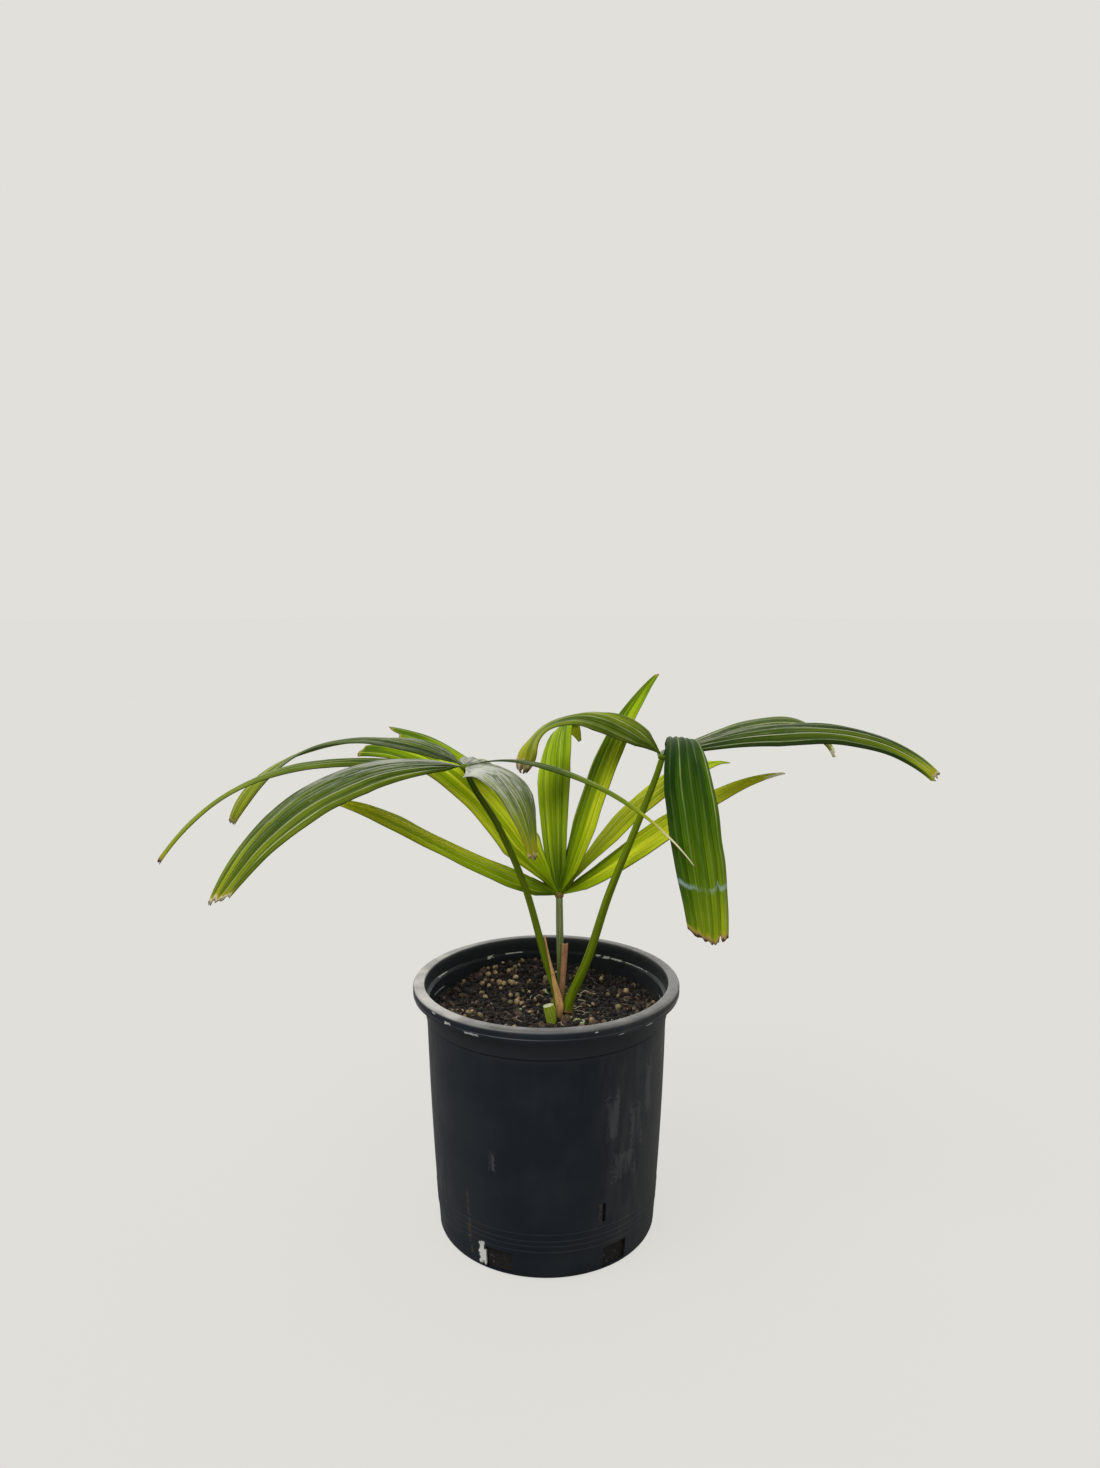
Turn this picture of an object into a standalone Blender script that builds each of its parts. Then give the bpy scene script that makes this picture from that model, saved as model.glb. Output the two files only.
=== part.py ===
"""Young potted palm: three palmate leaves on slender petioles, in a one-gallon nursery pot.

Metres, +Z up. The origin is the centre of the pot's flat underside, and +Y runs away from the viewer.
"""

import math
from collections import namedtuple

import bmesh
import bpy
import numpy as np
from mathutils import Matrix, Vector

MM = 0.001
GAP = 0.3 * MM

# Pot, a blow-moulded one-gallon nursery container
POT_HEIGHT = 158.5 * MM
POT_BASE_RADIUS = 68.1 * MM
POT_SHOULDER_RADIUS = 74.1 * MM
POT_SHOULDER_HEIGHT = 138.0 * MM
POT_BULGE = 0.95 * MM
POT_WALL = 1.6 * MM
POT_FLOOR = 2.0 * MM
FOOT_ROUND = 4.0 * MM
COLLAR_RADIUS = 74.9 * MM
COLLAR_STEP = 0.8 * MM
LIP_RADIUS = 82.5 * MM
LIP_DEPTH = 7.2 * MM
LIP_ROUND = 1.2 * MM
MOUTH_RADIUS = 75.0 * MM
MOUTH_LEDGE = 148.0 * MM
POT_STEPS = 48

# Drain notches round the foot of the pot
NOTCHES = 6
NOTCH_FIRST_DEG = -24.0
NOTCH_WIDTH = 17.0 * MM
NOTCH_HEIGHT = 16.0 * MM
NOTCH_REACH = 10.0 * MM

# Soil, dished towards the stem
SOIL_EDGE = 140.0 * MM
SOIL_DISH = 3.5 * MM
SOIL_STEPS = 32

# Stem base, petioles and dry leaf bases
STEM_CENTRE = Vector((10.0, -9.0, 0)) * MM
STEM_FOOT_RADIUS = 8.6 * MM
STEM_TOP_RADIUS = 7.2 * MM
STEM_TOP = 144.5 * MM
HUB_RADIUS = 5.0 * MM
PETIOLE_ROUNDNESS = 2
STUB_CENTRE = Vector((2.5, -18.0, 0)) * MM
STUB_RADIUS = 2.7 * MM
STUB_LENGTH = 11.0 * MM
SHEATH_THICKNESS = 0.9 * MM
SHEATH_WIDTH = 4.0 * MM

# Each dry sheath's foot and tip, in mm, stands just in front of its petiole.
SHEATHS = {
    "left_dry_sheath": ((8.2, -15.5, 144.9), (1.2, -11.9, 171)),
    "centre_dry_sheath": ((12.2, -7.4, 148), (12.6, -1.6, 181)),
}

# Leaflet blades
BLADE_STEPS = 9
BLADE_COLUMNS = 6
BLADE_THICKNESS_RATIO = 1 / 95
PLEAT_DEPTH = 0.7 * MM
ROOT_FREE_WIDTH = 2.2 * MM
ROOT_TAPER = 40.0 * MM
SPINE_STEPS = 60
RAGGED = 2.5 * MM

Petiole = namedtuple("Petiole", "name route base_radius top_radius")
PETIOLES = [
    Petiole("left_petiole", [(6.8, -11, 144.8), (5.6, -10, 153.5), (-1.5, -7.6, 176), (-13, -3.4, 217),
                             (-29, 0.3, 254), (-44, 2.8, 278), (-50, 4, 291)], 2.7, 1.9),
    Petiole("right_petiole", [(13.7, -11, 144.8), (16.6, -9.8, 153.5), (26, -7.4, 175), (38, -3.3, 212),
                              (52.5, 0.6, 248), (66, 4.3, 282), (71, 6, 297)], 3.3, 1.9),
    Petiole("centre_petiole", [(10, -4.2, 144.8), (9.3, -2.4, 151), (8.6, 4, 172), (8.2, 10, 192),
                               (8, 14, 207)], 2.5, 2.2),
]

# heading, slope and roll are angles in degrees at even steps from a leaflet's root to its tip, joined by a
# smooth curve. heading is anticlockwise from +X seen from above, slope is above the horizontal, and roll
# turns the blade about its spine. Length and width are in mm. The blade opens over the share peak of its
# length, by the power rise, and narrows from taper on to the share tip of its width. It is split at cut.
Leaflet = namedtuple("Leaflet", "name heading slope roll length width peak rise taper tip cut")
LEFT_LEAF = [
    Leaflet("left_far", (149, 169, 192), (29, 0, -26.5, -72), (-22, 0, -21), 187, 42, 0.29, 0.88, 0.84, 0.15,
            0.55),
    Leaflet("left_middle", (185, 187.5, 203), (3, 0.5, -26, -55.5), (-16, 1, -2), 203, 35, 0.47, 1.08, 0.46,
            0.44, 0.60),
    Leaflet("left_near", (215.5, 215, 222.5), (15, -6.5, -34, -59.5), (-20, -5, 1), 180, 39, 0.37, 0.77,
            0.81, 0.41, 0.45),
    Leaflet("left_front", (-63.5, -66, -74), (6.5, 3, -26.5, -74.5), (37, -17, -45), 126, 36, 0.46, 0.25,
            0.54, 0.16, 0.60),
    Leaflet("left_thread", (-35, -49.5, -39.5), (22, -1, -15, -46), (6, -11, -26), 187, 14, 0.46, 0.47, 0.54,
            0.07, None),
    Leaflet("left_back", (85, 87, 90), (11, 6, -6, -25), (12, 5, -2), 125, 20, 0.45, 0.60, 0.61, 0.15, None),
]
RIGHT_LEAF = [
    Leaflet("right_arch", (163.5, 163.5, 199), (53.5, 15.5, -29, -99), (-32, -8, -4), 121, 35, 0.39, 0.63,
            0.82, 0.31, 0.55),
    Leaflet("right_front", (-78.5, -89, -82.5), (54.5, -13.5, -49, -65), (14, -12, -11), 185, 30, 0.57, 0.59,
            0.74, 0.63, 0.33),
    Leaflet("right_side", (-0.5, -3, -20), (22.5, 8.5, -10, -48), (17, 13, 17), 176, 34, 0.40, 0.84, 0.53,
            0.54, 0.60),
    Leaflet("right_far", (29.5, 29, 33), (17, 11, -8, -59), (6, 6, 44), 154, 33, 0.45, 0.55, 0.58, 0.40,
            0.62),
    Leaflet("right_back", (74, 76, 78), (-1, -4, -9, -20), (0, 0, 0), 100, 28, 0.42, 0.60, 0.60, 0.25, None),
]
CENTRE_LEAF = [
    Leaflet("centre_left", (188.5, 191, 192), (27.5, 26.5, 29.5, 11.5), (-16, -7, -12), 151, 31, 0.25, 0.36,
            0.69, 0.22, None),
    Leaflet("centre_wide", (153, 149, 151), (51, 44, 22, -4.5), (-8, -6, -23), 183, 41, 0.22, 1.20, 0.90,
            1.00, 0.72),
    Leaflet("centre_upright", (103.5, 85.5, 65.5), (54.5, 57.5, 19.5, -54), (-39, -38, -41), 185, 28, 0.44,
            0.54, 0.52, 0.07, 0.68),
    Leaflet("centre_tall", (32.5, 38, 44.5), (66.5, 68, 55, 29), (-11, -13, -16), 163, 35, 0.29, 0.45, 0.35,
            0.35, None),
    Leaflet("centre_right", (38.5, 32, 34.5), (45, 37.5, 23, -15), (-31, -8, -3), 166, 31, 0.30, 0.81, 0.70,
            0.04, None),
    Leaflet("centre_low", (3, 13, 21.5), (28.5, 34, 24, 0.5), (13, 4, -11), 171, 34, 0.35, 0.48, 0.48, 0.10,
            None),
]
LEAVES = {"left": LEFT_LEAF, "right": RIGHT_LEAF, "centre": CENTRE_LEAF}

# How far a blade's edges curve down below its spine, as a share of its width
CROWNS = {"left": 0.10, "right": 0.10, "centre": 0.04}

# Base colours (linear), roughness
POT_LOOK = ((0.020, 0.023, 0.028), 0.42)
SOIL_LOOK = ((0.030, 0.020, 0.013), 0.95)
OLD_LEAF_LOOK = ((0.075, 0.150, 0.030), 0.40)
NEW_LEAF_LOOK = ((0.230, 0.360, 0.040), 0.45)
PETIOLE_LOOK = ((0.090, 0.170, 0.030), 0.45)
DRY_LOOK = ((0.420, 0.250, 0.100), 0.80)


def start_scene():
    for item in list(bpy.data.objects):
        bpy.data.objects.remove(item, do_unlink=True)
    folders = []
    for name in ("potted_palm", "cutters"):
        folder = bpy.data.collections.new(name)
        bpy.context.scene.collection.children.link(folder)
        folders.append(folder)
    return folders


def material(name, look):
    colour, roughness = look
    made = bpy.data.materials.new(name)
    made.use_nodes = True
    shader = made.node_tree.nodes["Principled BSDF"]
    shader.inputs["Base Color"].default_value = (*colour, 1.0)
    shader.inputs["Roughness"].default_value = roughness
    shader.inputs["Metallic"].default_value = 0.0
    made.diffuse_color = (*colour, 1.0)
    return made


def place(name, data, folder, look=None):
    made = bpy.data.objects.new(name, data)
    folder.objects.link(made)
    if look:
        data.materials.append(look)
    return made


def mesh_from(shape, name, smooth_deg=35):
    mesh = bpy.data.meshes.new(name)
    shape.to_mesh(mesh)
    shape.free()
    mesh.shade_smooth()
    mesh.set_sharp_from_angle(angle=math.radians(smooth_deg))
    return mesh


def turned(name, profile, steps, folder, look):
    """A solid of revolution about Z: profile is (radius, height) pairs, outer side first, top to bottom."""
    shape = bmesh.new()
    corners = [shape.verts.new((radius, 0, height)) for radius, height in profile]
    for upper, lower in zip(corners, corners[1:]):
        shape.edges.new((upper, lower))
    body = place(name, mesh_from(shape, name), folder, look)
    screw = body.modifiers.new("turn", "SCREW")
    screw.steps = screw.render_steps = steps
    screw.use_merge_vertices = True
    screw.merge_threshold = 0.00005
    screw.use_smooth_shade = True
    return body


def wall_radius(height):
    """Outer radius of the pot's gently bulged wall."""
    share = height / POT_SHOULDER_HEIGHT
    straight = POT_BASE_RADIUS + (POT_SHOULDER_RADIUS - POT_BASE_RADIUS) * share
    return straight + 4 * POT_BULGE * share * (1 - share)


def quarter_round(centre, radius, start_deg, end_deg, steps=2):
    angles = np.radians(np.linspace(start_deg, end_deg, steps + 1))
    return [(centre[0] + radius * math.cos(a), centre[1] + radius * math.sin(a)) for a in angles]


def pot(folder, cutters, look):
    lip_foot = POT_HEIGHT - LIP_DEPTH
    outside = [(MOUTH_RADIUS + LIP_ROUND, POT_HEIGHT)]
    outside += quarter_round((LIP_RADIUS - LIP_ROUND, POT_HEIGHT - LIP_ROUND), LIP_ROUND, 90, 0)
    outside += [(LIP_RADIUS, lip_foot), (COLLAR_RADIUS, lip_foot - COLLAR_STEP)]
    outside += [(COLLAR_RADIUS, POT_SHOULDER_HEIGHT)]
    for height in np.linspace(POT_SHOULDER_HEIGHT - COLLAR_STEP, FOOT_ROUND, 6):
        outside.append((wall_radius(height), height))
    foot = (wall_radius(FOOT_ROUND) - FOOT_ROUND, FOOT_ROUND)
    outside += quarter_round(foot, FOOT_ROUND, 0, -90)[1:]
    outside.append((0, 0))
    inside = [(0, POT_FLOOR)]
    for height in np.linspace(POT_FLOOR, MOUTH_LEDGE, 5):
        inside.append((wall_radius(min(height, POT_SHOULDER_HEIGHT)) - POT_WALL, height))
    inside += [(MOUTH_RADIUS, MOUTH_LEDGE + COLLAR_STEP), (MOUTH_RADIUS, POT_HEIGHT - LIP_ROUND)]
    profile = outside + inside + outside[:1]
    body = turned("pot", profile, POT_STEPS, folder, look)
    for index in range(NOTCHES):
        angle = math.radians(NOTCH_FIRST_DEG + 360 / NOTCHES * index - 90)
        shape = bmesh.new()
        bmesh.ops.create_cube(shape, size=1)
        size = Matrix.Diagonal((NOTCH_REACH, NOTCH_WIDTH, NOTCH_HEIGHT - POT_FLOOR - GAP, 1))
        shape.transform(size)
        cutter = place(f"notch_cutter_{index}", mesh_from(shape, "notch_cutter"), cutters)
        middle = (NOTCH_HEIGHT + POT_FLOOR + GAP) / 2
        cutter.location = (POT_BASE_RADIUS * math.cos(angle), POT_BASE_RADIUS * math.sin(angle), middle)
        cutter.rotation_euler.z = angle
        cutter.hide_render = True
        cutter.display_type = "WIRE"
        cut = body.modifiers.new(f"notch_{index}", "BOOLEAN")
        cut.operation = "DIFFERENCE"
        cut.object = cutter
    return body


def soil_height(radius):
    share = radius / wall_radius(SOIL_EDGE)
    return SOIL_EDGE - SOIL_DISH * (1 - share * share)


def soil(folder, look):
    reach = wall_radius(POT_SHOULDER_HEIGHT) - POT_WALL - GAP
    profile = [(radius, soil_height(radius)) for radius in np.linspace(0, reach, 5)]
    for height in (POT_SHOULDER_HEIGHT * 0.6, POT_SHOULDER_HEIGHT * 0.25, POT_FLOOR + GAP):
        profile.append((wall_radius(height) - POT_WALL - GAP, height))
    profile.append((0, POT_FLOOR + GAP))
    return turned("soil", profile, SOIL_STEPS, folder, look)


def stem_base(folder, look):
    ground = soil_height(STEM_CENTRE.length) + GAP
    profile = [(0, STEM_TOP), (STEM_TOP_RADIUS, STEM_TOP), (STEM_FOOT_RADIUS, (ground + STEM_TOP) / 2),
               (STEM_FOOT_RADIUS * 0.94, ground + GAP), (0, ground + GAP)]
    body = turned("stem_base", profile, 18, folder, look)
    body.location = STEM_CENTRE
    return body


def tube(name, points, radii, folder, look, resolution=4):
    curve = bpy.data.curves.new(name, "CURVE")
    curve.dimensions = "3D"
    curve.bevel_depth = 1.0
    curve.bevel_resolution = PETIOLE_ROUNDNESS
    curve.resolution_u = resolution
    curve.use_fill_caps = True
    spline = curve.splines.new("BEZIER")
    spline.bezier_points.add(len(points) - 1)
    for knot, point, radius in zip(spline.bezier_points, points, radii):
        knot.co = point
        knot.radius = radius
        knot.handle_left_type = knot.handle_right_type = "AUTO"
    return place(name, curve, folder, look)


def cut_stub(folder, look):
    """The green stump of a leaf that was cut away, beside the stem base."""
    ground = soil_height(STUB_CENTRE.length) + GAP
    shape = bmesh.new()
    bmesh.ops.create_cone(shape, cap_ends=True, segments=12, radius1=STUB_RADIUS * 1.15, radius2=STUB_RADIUS,
                          depth=STUB_LENGTH)
    body = place("cut_stub", mesh_from(shape, "cut_stub"), folder, look)
    body.location = STUB_CENTRE + Vector((0, 0, ground + STUB_LENGTH / 2))
    return body


def sheath(name, folder, look):
    """A dry, papery strip that a shed leaf left standing against a petiole."""
    foot, tip = (Vector(end) * MM for end in SHEATHS[name])
    shape = bmesh.new()
    bmesh.ops.create_grid(shape, x_segments=5, y_segments=2, size=1)
    for corner in shape.verts:
        along = (corner.co.x + 1) / 2
        width = SHEATH_WIDTH * (1 - 0.45 * along)
        curl = 0.5 * MM * corner.co.y ** 2
        corner.co = foot.lerp(tip, along) + Vector((corner.co.y * width / 2, curl, 0))
    body = place(name, mesh_from(shape, name), folder, look)
    thick = body.modifiers.new("paper", "SOLIDIFY")
    thick.thickness = SHEATH_THICKNESS
    thick.offset = 0
    return body


def hub_centre(side):
    petiole = next(one for one in PETIOLES if one.name.startswith(side))
    return Vector(petiole.route[-1]) * MM


def petiole(row, folder, look):
    """A tapering stalk from the stem base to just short of its leaf's hub."""
    points = [Vector(point) * MM for point in row.route]
    direction = (points[-1] - points[-2]).normalized()
    points[-1] = points[-1] - direction * (HUB_RADIUS + GAP)
    first = points[0] + Vector((0, 0, 2 * MM))
    points = [points[0], first] + points[1:]
    radii = [MM * (row.base_radius + (row.top_radius - row.base_radius) * index / (len(points) - 1))
             for index in range(len(points))]
    return tube(row.name, points, radii, folder, look)


def hub(side, folder, look):
    shape = bmesh.new()
    bmesh.ops.create_uvsphere(shape, u_segments=12, v_segments=6, radius=HUB_RADIUS)
    body = place(f"{side}_hub", mesh_from(shape, "hub", 60), folder, look)
    body.location = hub_centre(side)
    return body


def smooth_angle(angles, share):
    """Radians along the one smooth curve through angles, in degrees at even steps of share."""
    steps = np.linspace(0, 1, len(angles))
    return np.radians(np.polyval(np.polyfit(steps, angles, len(angles) - 1), share))


def spine(row, hub_point):
    """Points, directions, side and face vectors at even steps along a leaflet's spine."""
    share = np.linspace(0, 1, SPINE_STEPS + 1)
    slope = smooth_angle(row.slope, share)
    turn = smooth_angle(row.heading, share)
    along = np.stack([np.cos(slope) * np.cos(turn), np.cos(slope) * np.sin(turn), np.sin(slope)], 1)
    steps = (along[1:] + along[:-1]) / 2 * row.length * MM / SPINE_STEPS
    points = np.array(hub_point) + np.vstack([np.zeros(3), np.cumsum(steps, 0)])
    level = np.stack([-np.sin(turn), np.cos(turn), np.zeros_like(turn)], 1)
    face = np.cross(along, level)
    roll = smooth_angle(row.roll, share)[:, None]
    side = level * np.cos(roll) + face * np.sin(roll)
    return share, points, side, np.cross(along, side)


def blade_width(row, share):
    """Full width in metres: it opens from the root, is widest past peak, and narrows from taper to tip."""
    opening = np.minimum(1, share / row.peak) ** row.rise
    closing = np.clip((share - row.taper) / (1 - row.taper), 0, 1) ** 1.5
    width = row.width * MM * opening * (1 - (1 - row.tip) * closing)
    clear = np.clip((share * row.length * MM - HUB_RADIUS) / ROOT_TAPER, 0, 1)
    return np.minimum(width, ROOT_FREE_WIDTH + (width - ROOT_FREE_WIDTH) * clear)


def blade(row, name, start, end, hub_point, crown, folder, look):
    """One pleated stretch of a leaflet, from start to end of its length."""
    share, points, side, face = spine(row, hub_point)
    shape = bmesh.new()
    steps = max(3, round(BLADE_STEPS * (end - start)))
    bmesh.ops.create_grid(shape, x_segments=steps, y_segments=BLADE_COLUMNS, size=1)
    for corner in shape.verts:
        place_along = start + (end - start) * (corner.co.x + 1) / 2
        column = round((corner.co.y + 1) / 2 * BLADE_COLUMNS)
        if end == 1 and corner.co.x > 0.999 and column % 2:
            place_along -= RAGGED / (row.length * MM)
        at = [np.interp(place_along, share, values[:, axis]) for values in (points, side, face)
              for axis in range(3)]
        spot, across, normal = (np.array(at[first:first + 3]) for first in (0, 3, 6))
        width = blade_width(row, place_along)
        pleat = (column % 2 - 0.5) * PLEAT_DEPTH * min(1, width / (row.width * MM) * 1.5)
        lift = pleat - crown * width * corner.co.y ** 2
        corner.co = spot + across * corner.co.y * width / 2 + normal * lift
    body = place(name, mesh_from(shape, name, 60), folder, look)
    thick = body.modifiers.new("blade", "SOLIDIFY")
    thick.thickness = row.length * MM * BLADE_THICKNESS_RATIO
    thick.offset = 0
    return body


def leaf(side, rows, folder, look):
    centre, crown = hub_centre(side), CROWNS[side]
    for row in rows:
        start = (HUB_RADIUS + GAP) / (row.length * MM)
        if row.cut is None:
            blade(row, f"{row.name}_leaflet", start, 1, centre, crown, folder, look)
            continue
        half_gap = GAP / 2 / (row.length * MM)
        blade(row, f"{row.name}_leaflet_inner", start, row.cut - half_gap, centre, crown, folder, look)
        blade(row, f"{row.name}_leaflet_outer", row.cut + half_gap, 1, centre, crown, folder, look)


def main():
    folder, cutters = start_scene()
    green = material("petiole_green", PETIOLE_LOOK)
    pot(folder, cutters, material("pot_plastic", POT_LOOK))
    soil(folder, material("soil", SOIL_LOOK))
    stem_base(folder, green)
    cut_stub(folder, green)
    dry = material("dry_leaf_base", DRY_LOOK)
    for name in SHEATHS:
        sheath(name, folder, dry)
    for row in PETIOLES:
        petiole(row, folder, green)
    looks = {"left": material("old_leaf", OLD_LEAF_LOOK), "centre": material("new_leaf", NEW_LEAF_LOOK)}
    looks["right"] = looks["left"]
    for side, rows in LEAVES.items():
        hub(side, folder, green)
        leaf(side, rows, folder, looks[side])


main()
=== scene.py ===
"""Looks of the young potted palm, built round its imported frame. Metres, +Z up, seen along +Y."""

import math
from collections import namedtuple

import bmesh
import bpy
import numpy as np
from mathutils import Matrix, Quaternion, Vector, noise


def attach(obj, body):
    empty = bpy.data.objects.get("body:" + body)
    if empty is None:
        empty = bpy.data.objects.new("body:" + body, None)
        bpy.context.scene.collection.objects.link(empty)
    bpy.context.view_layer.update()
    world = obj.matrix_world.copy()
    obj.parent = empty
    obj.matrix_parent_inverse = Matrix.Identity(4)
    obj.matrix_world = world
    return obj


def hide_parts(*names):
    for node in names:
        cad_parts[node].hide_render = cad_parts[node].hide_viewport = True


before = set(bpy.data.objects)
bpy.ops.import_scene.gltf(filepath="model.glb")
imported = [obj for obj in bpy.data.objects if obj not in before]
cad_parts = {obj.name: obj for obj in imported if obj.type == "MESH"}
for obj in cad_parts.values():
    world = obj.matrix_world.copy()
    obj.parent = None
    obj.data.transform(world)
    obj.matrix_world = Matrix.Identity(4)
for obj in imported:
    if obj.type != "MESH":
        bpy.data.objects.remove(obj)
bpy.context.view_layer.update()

MM = 0.001

# Camera: a phone's main lens, 0.63 m in front of the pot's axis
CAMERA_PLACE = (0.00214, -0.6345, 0.403)
CAMERA_PITCH_DEG = 8.15
CAMERA_LENS = 26.0

# Studio: a pale paper floor and backdrop, a bright wall of light behind, a softer one above and a key light
FLOOR_RADIUS = 12.0
BACKDROP_COLOUR = (0.753, 0.745, 0.708)
FLOOR_GLOW = 0.855
FLOOR_SEEN = 0.38
FLOOR_COLOUR = (0.2, 0.198, 0.188)
SKY_ABOVE = 0.85
SKY_BEHIND = 1.6
SKY_BEFORE = 0.5
SUN_STRENGTH = 1.6
SUN_ANGLE_DEG = 45.0
SUN_FROM = (-0.7, -0.6, 1.6)

# Pot
POT_HEIGHT = 158.5 * MM
POT_BASE_RADIUS = 68.1 * MM
POT_SHOULDER_RADIUS = 74.1 * MM
POT_SHOULDER_HEIGHT = 138.0 * MM
POT_BULGE = 0.95 * MM
POT_WALL = 1.3 * MM
POT_FLOOR = 2.0 * MM
FOOT_ROUND = 4.0 * MM
COLLAR_RADIUS = 74.9 * MM
LIP_RADIUS = 82.5 * MM
LIP_DEPTH = 7.2 * MM
MOUTH_RADIUS = 75.0 * MM
MOUTH_LEDGE = 148.0 * MM
POT_STEPS = 192
RING_HEIGHTS = (29.5 * MM, 25.2 * MM, 22.0 * MM, 18.3 * MM)
RING_PROUD = 0.22 * MM
NOTCHES = 6
NOTCH_FIRST_DEG = -24.0
NOTCH_WIDTH = 17.0 * MM
NOTCH_HEIGHT = 16.0 * MM
SLOT_DEGREES = (28.6, 148.6, 268.6)
SLOT_SIZE = (10 * MM, 2.0 * MM, 12.0 * MM)
SLOT_MIDDLE = 39.0 * MM

# Marks on the pot: degrees from its front, height in mm, half the width in degrees and half the height in mm
WATER_MARKS = [(-148.5, 148.9, 2, 0.8), (-162, 148.9, 5.5, 0.35), (152, 148.8, 1.5, 0.6),
               (147, 148.8, 2, 0.7), (141, 148.7, 3.5, 0.4), (129, 148.7, 9, 0.22), (-115, 148.8, 5, 0.35),
               (-107, 141.6, 8, 0.4), (93, 141.6, 8, 0.4)]
# Painted glints of light on the lip's outer face
LIP_GLINTS = [(-43, 154.4, 1.4, 0.8), (-31, 152.6, 3.4, 0.7), (-52, 156.6, 1.2, 0.5), (20, 156.4, 0.7, 0.4),
             (31, 152.4, 1.4, 0.4), (46, 152.4, 2.4, 0.5), (-143, 157.4, 1.6, 0.7)]
SCRATCHES = [(-41, 40, 0.7, 7), (-40.6, 24, 1, 9), (-40, 10.5, 0.8, 3.5), (26.6, 38.5, 0.9, 6.5)]
SCUFFS = [(32, 97, 3.6, 15), (47, 88, 4.5, 14), (40, 66, 7, 9), (-26, 73, 1.6, 6), (56, 108, 3, 17)]
PAINT_SPOTS = [(-32.8, 9.5, 2.5, 5.4), (-33.4, 15, 1.6, 3.4)]

# Soil
SOIL_EDGE = 140.0 * MM
SOIL_DISH = 3.5 * MM

# Clusters of fertiliser beads, seen from above: the middle and the spread in mm, and how many
BEAD_CLUSTERS = [((-34, 42), (14, 13), 30), ((-52, -14), (9, 12), 14), ((-16, 14), (9, 12), 14),
                 ((0, 52), (14, 10), 6), ((40, 10), (20, 22), 7), ((-14, -42), (26, 12), 10)]
BEAD_REACH = 68.0

# Plant
STEM_CENTRE = Vector((10.0, -9.0, 0)) * MM
STUB_CENTRE = Vector((2.5, -18.0, 0)) * MM
SPINE_STEPS = 80
BLADE_ROWS = 110
COLUMNS_PER_RIB = 10
BLADE_THICKNESS = 0.42 * MM
WEB_THICKNESS = 0.7 * BLADE_THICKNESS
SHEATH_THICKNESS = 0.45 * MM
WEB_REACH = 21.0
ROOT_NARROW = 17.0 * MM
PLEAT_DEPTHS = (0.35 * MM, 1.05 * MM)
PLEAT_START = 9.0 * MM
WAVE_HEIGHT = 0.7 * MM
HUB_RADIUS = 2.6 * MM

# Colours on every leaf: its painted grey and silver sheen, its yellowed, dried, papery and burnt ends, and
# the smear
GREY_SHEEN = (0.35, 0.36, 0.305)
SILVER_SHEEN = (0.48, 0.49, 0.43)
YELLOWED = (0.34, 0.32, 0.016)
DRIED = (0.33, 0.215, 0.095)
PAPERY = (0.9, 0.88, 0.56)
BURNT = (0.045, 0.026, 0.014)
SMEAR_COLOUR = (0.3, 0.41, 0.39)

# Each stalk's route and radii in mm, from its foot up
Petiole = namedtuple("Petiole", "side route base_radius top_radius")
PETIOLES = [
    Petiole("left", [(6.8, -11, 141), (6.5, -10.6, 147), (5.6, -10, 153.5), (-1.5, -7.6, 176),
                     (-13, -3.4, 217), (-29, 0.3, 254), (-44, 2.8, 278), (-50, 4, 291)], 2.7, 1.8),
    Petiole("right", [(12.8, -11, 141), (13.9, -10.6, 147), (16.6, -9.8, 153.5), (26, -7.4, 175),
                      (38, -3.3, 212), (52.5, 0.6, 248), (66, 4.3, 282), (71, 6, 297)], 3.6, 1.8),
    Petiole("centre", [(10, -5.5, 141), (9.7, -4, 146), (9.3, -2.4, 151), (8.6, 4, 172), (8.2, 10, 192),
                       (8, 14, 207)], 2.5, 2.2),
]

# Two dry strips of old leaf base: their routes in mm, from the foot up
SHEATHS = {
    "left_dry_sheath": [(7.8, -14.4, 138), (8.2, -14.8, 146), (5.4, -13.3, 158), (2.0, -11.3, 173),
                        (-1.2, -9.6, 188)],
    "centre_dry_sheath": [(9.0, -8.6, 143), (9.3, -7.6, 152), (10.4, -4.6, 164), (11.6, -1.9, 181)],
}

# heading, slope and roll are three or four angles in degrees at even steps from a leaflet's root to its tip,
# joined by a smooth curve. heading is anticlockwise from +X seen from above, slope is above the horizontal,
# and roll turns the blade about its spine. Length and width are in mm. The blade opens over the share peak of
# its length, by the power rise, and narrows from taper on to the share tip of its width, by the power close.
Leaflet = namedtuple("Leaflet", "name heading slope roll length width peak rise taper tip close",
                     defaults=[1.5])
LEFT_LEAF = [
    Leaflet("left_far", (149, 169, 192), (29, 0, -26.5, -72), (-22, 6, -36), 187, 40, 0.29, 0.88, 0.66, 0.15),
    Leaflet("left_middle", (185, 187.5, 203), (3, 0.5, -26, -55.5), (-16, 4, 2), 203, 29, 0.42, 0.95, 0.46,
            0.3),
    Leaflet("left_near", (215.5, 215, 222.5), (15, -6.5, -34, -59.5), (-20, -5, 1), 184, 44, 0.42, 0.77,
            0.6, 0.3),
    Leaflet("left_front", (-63.5, -66, -74), (6.5, 3, -26.5, -74.5), (37, -17, -45), 126, 35, 0.46, 0.48,
            0.54, 0.16),
    Leaflet("left_thread", (-35, -49.5, -39.5), (22, -1, -15, -46), (6, -11, -26), 187, 12, 0.46, 1.3, 0.4,
            0.06, close=0.8),
    Leaflet("left_back", (85, 87, 90), (6, -8, -30, -66), (12, 5, -2), 112, 22, 0.45, 0.6, 0.61, 0.15),
]
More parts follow.
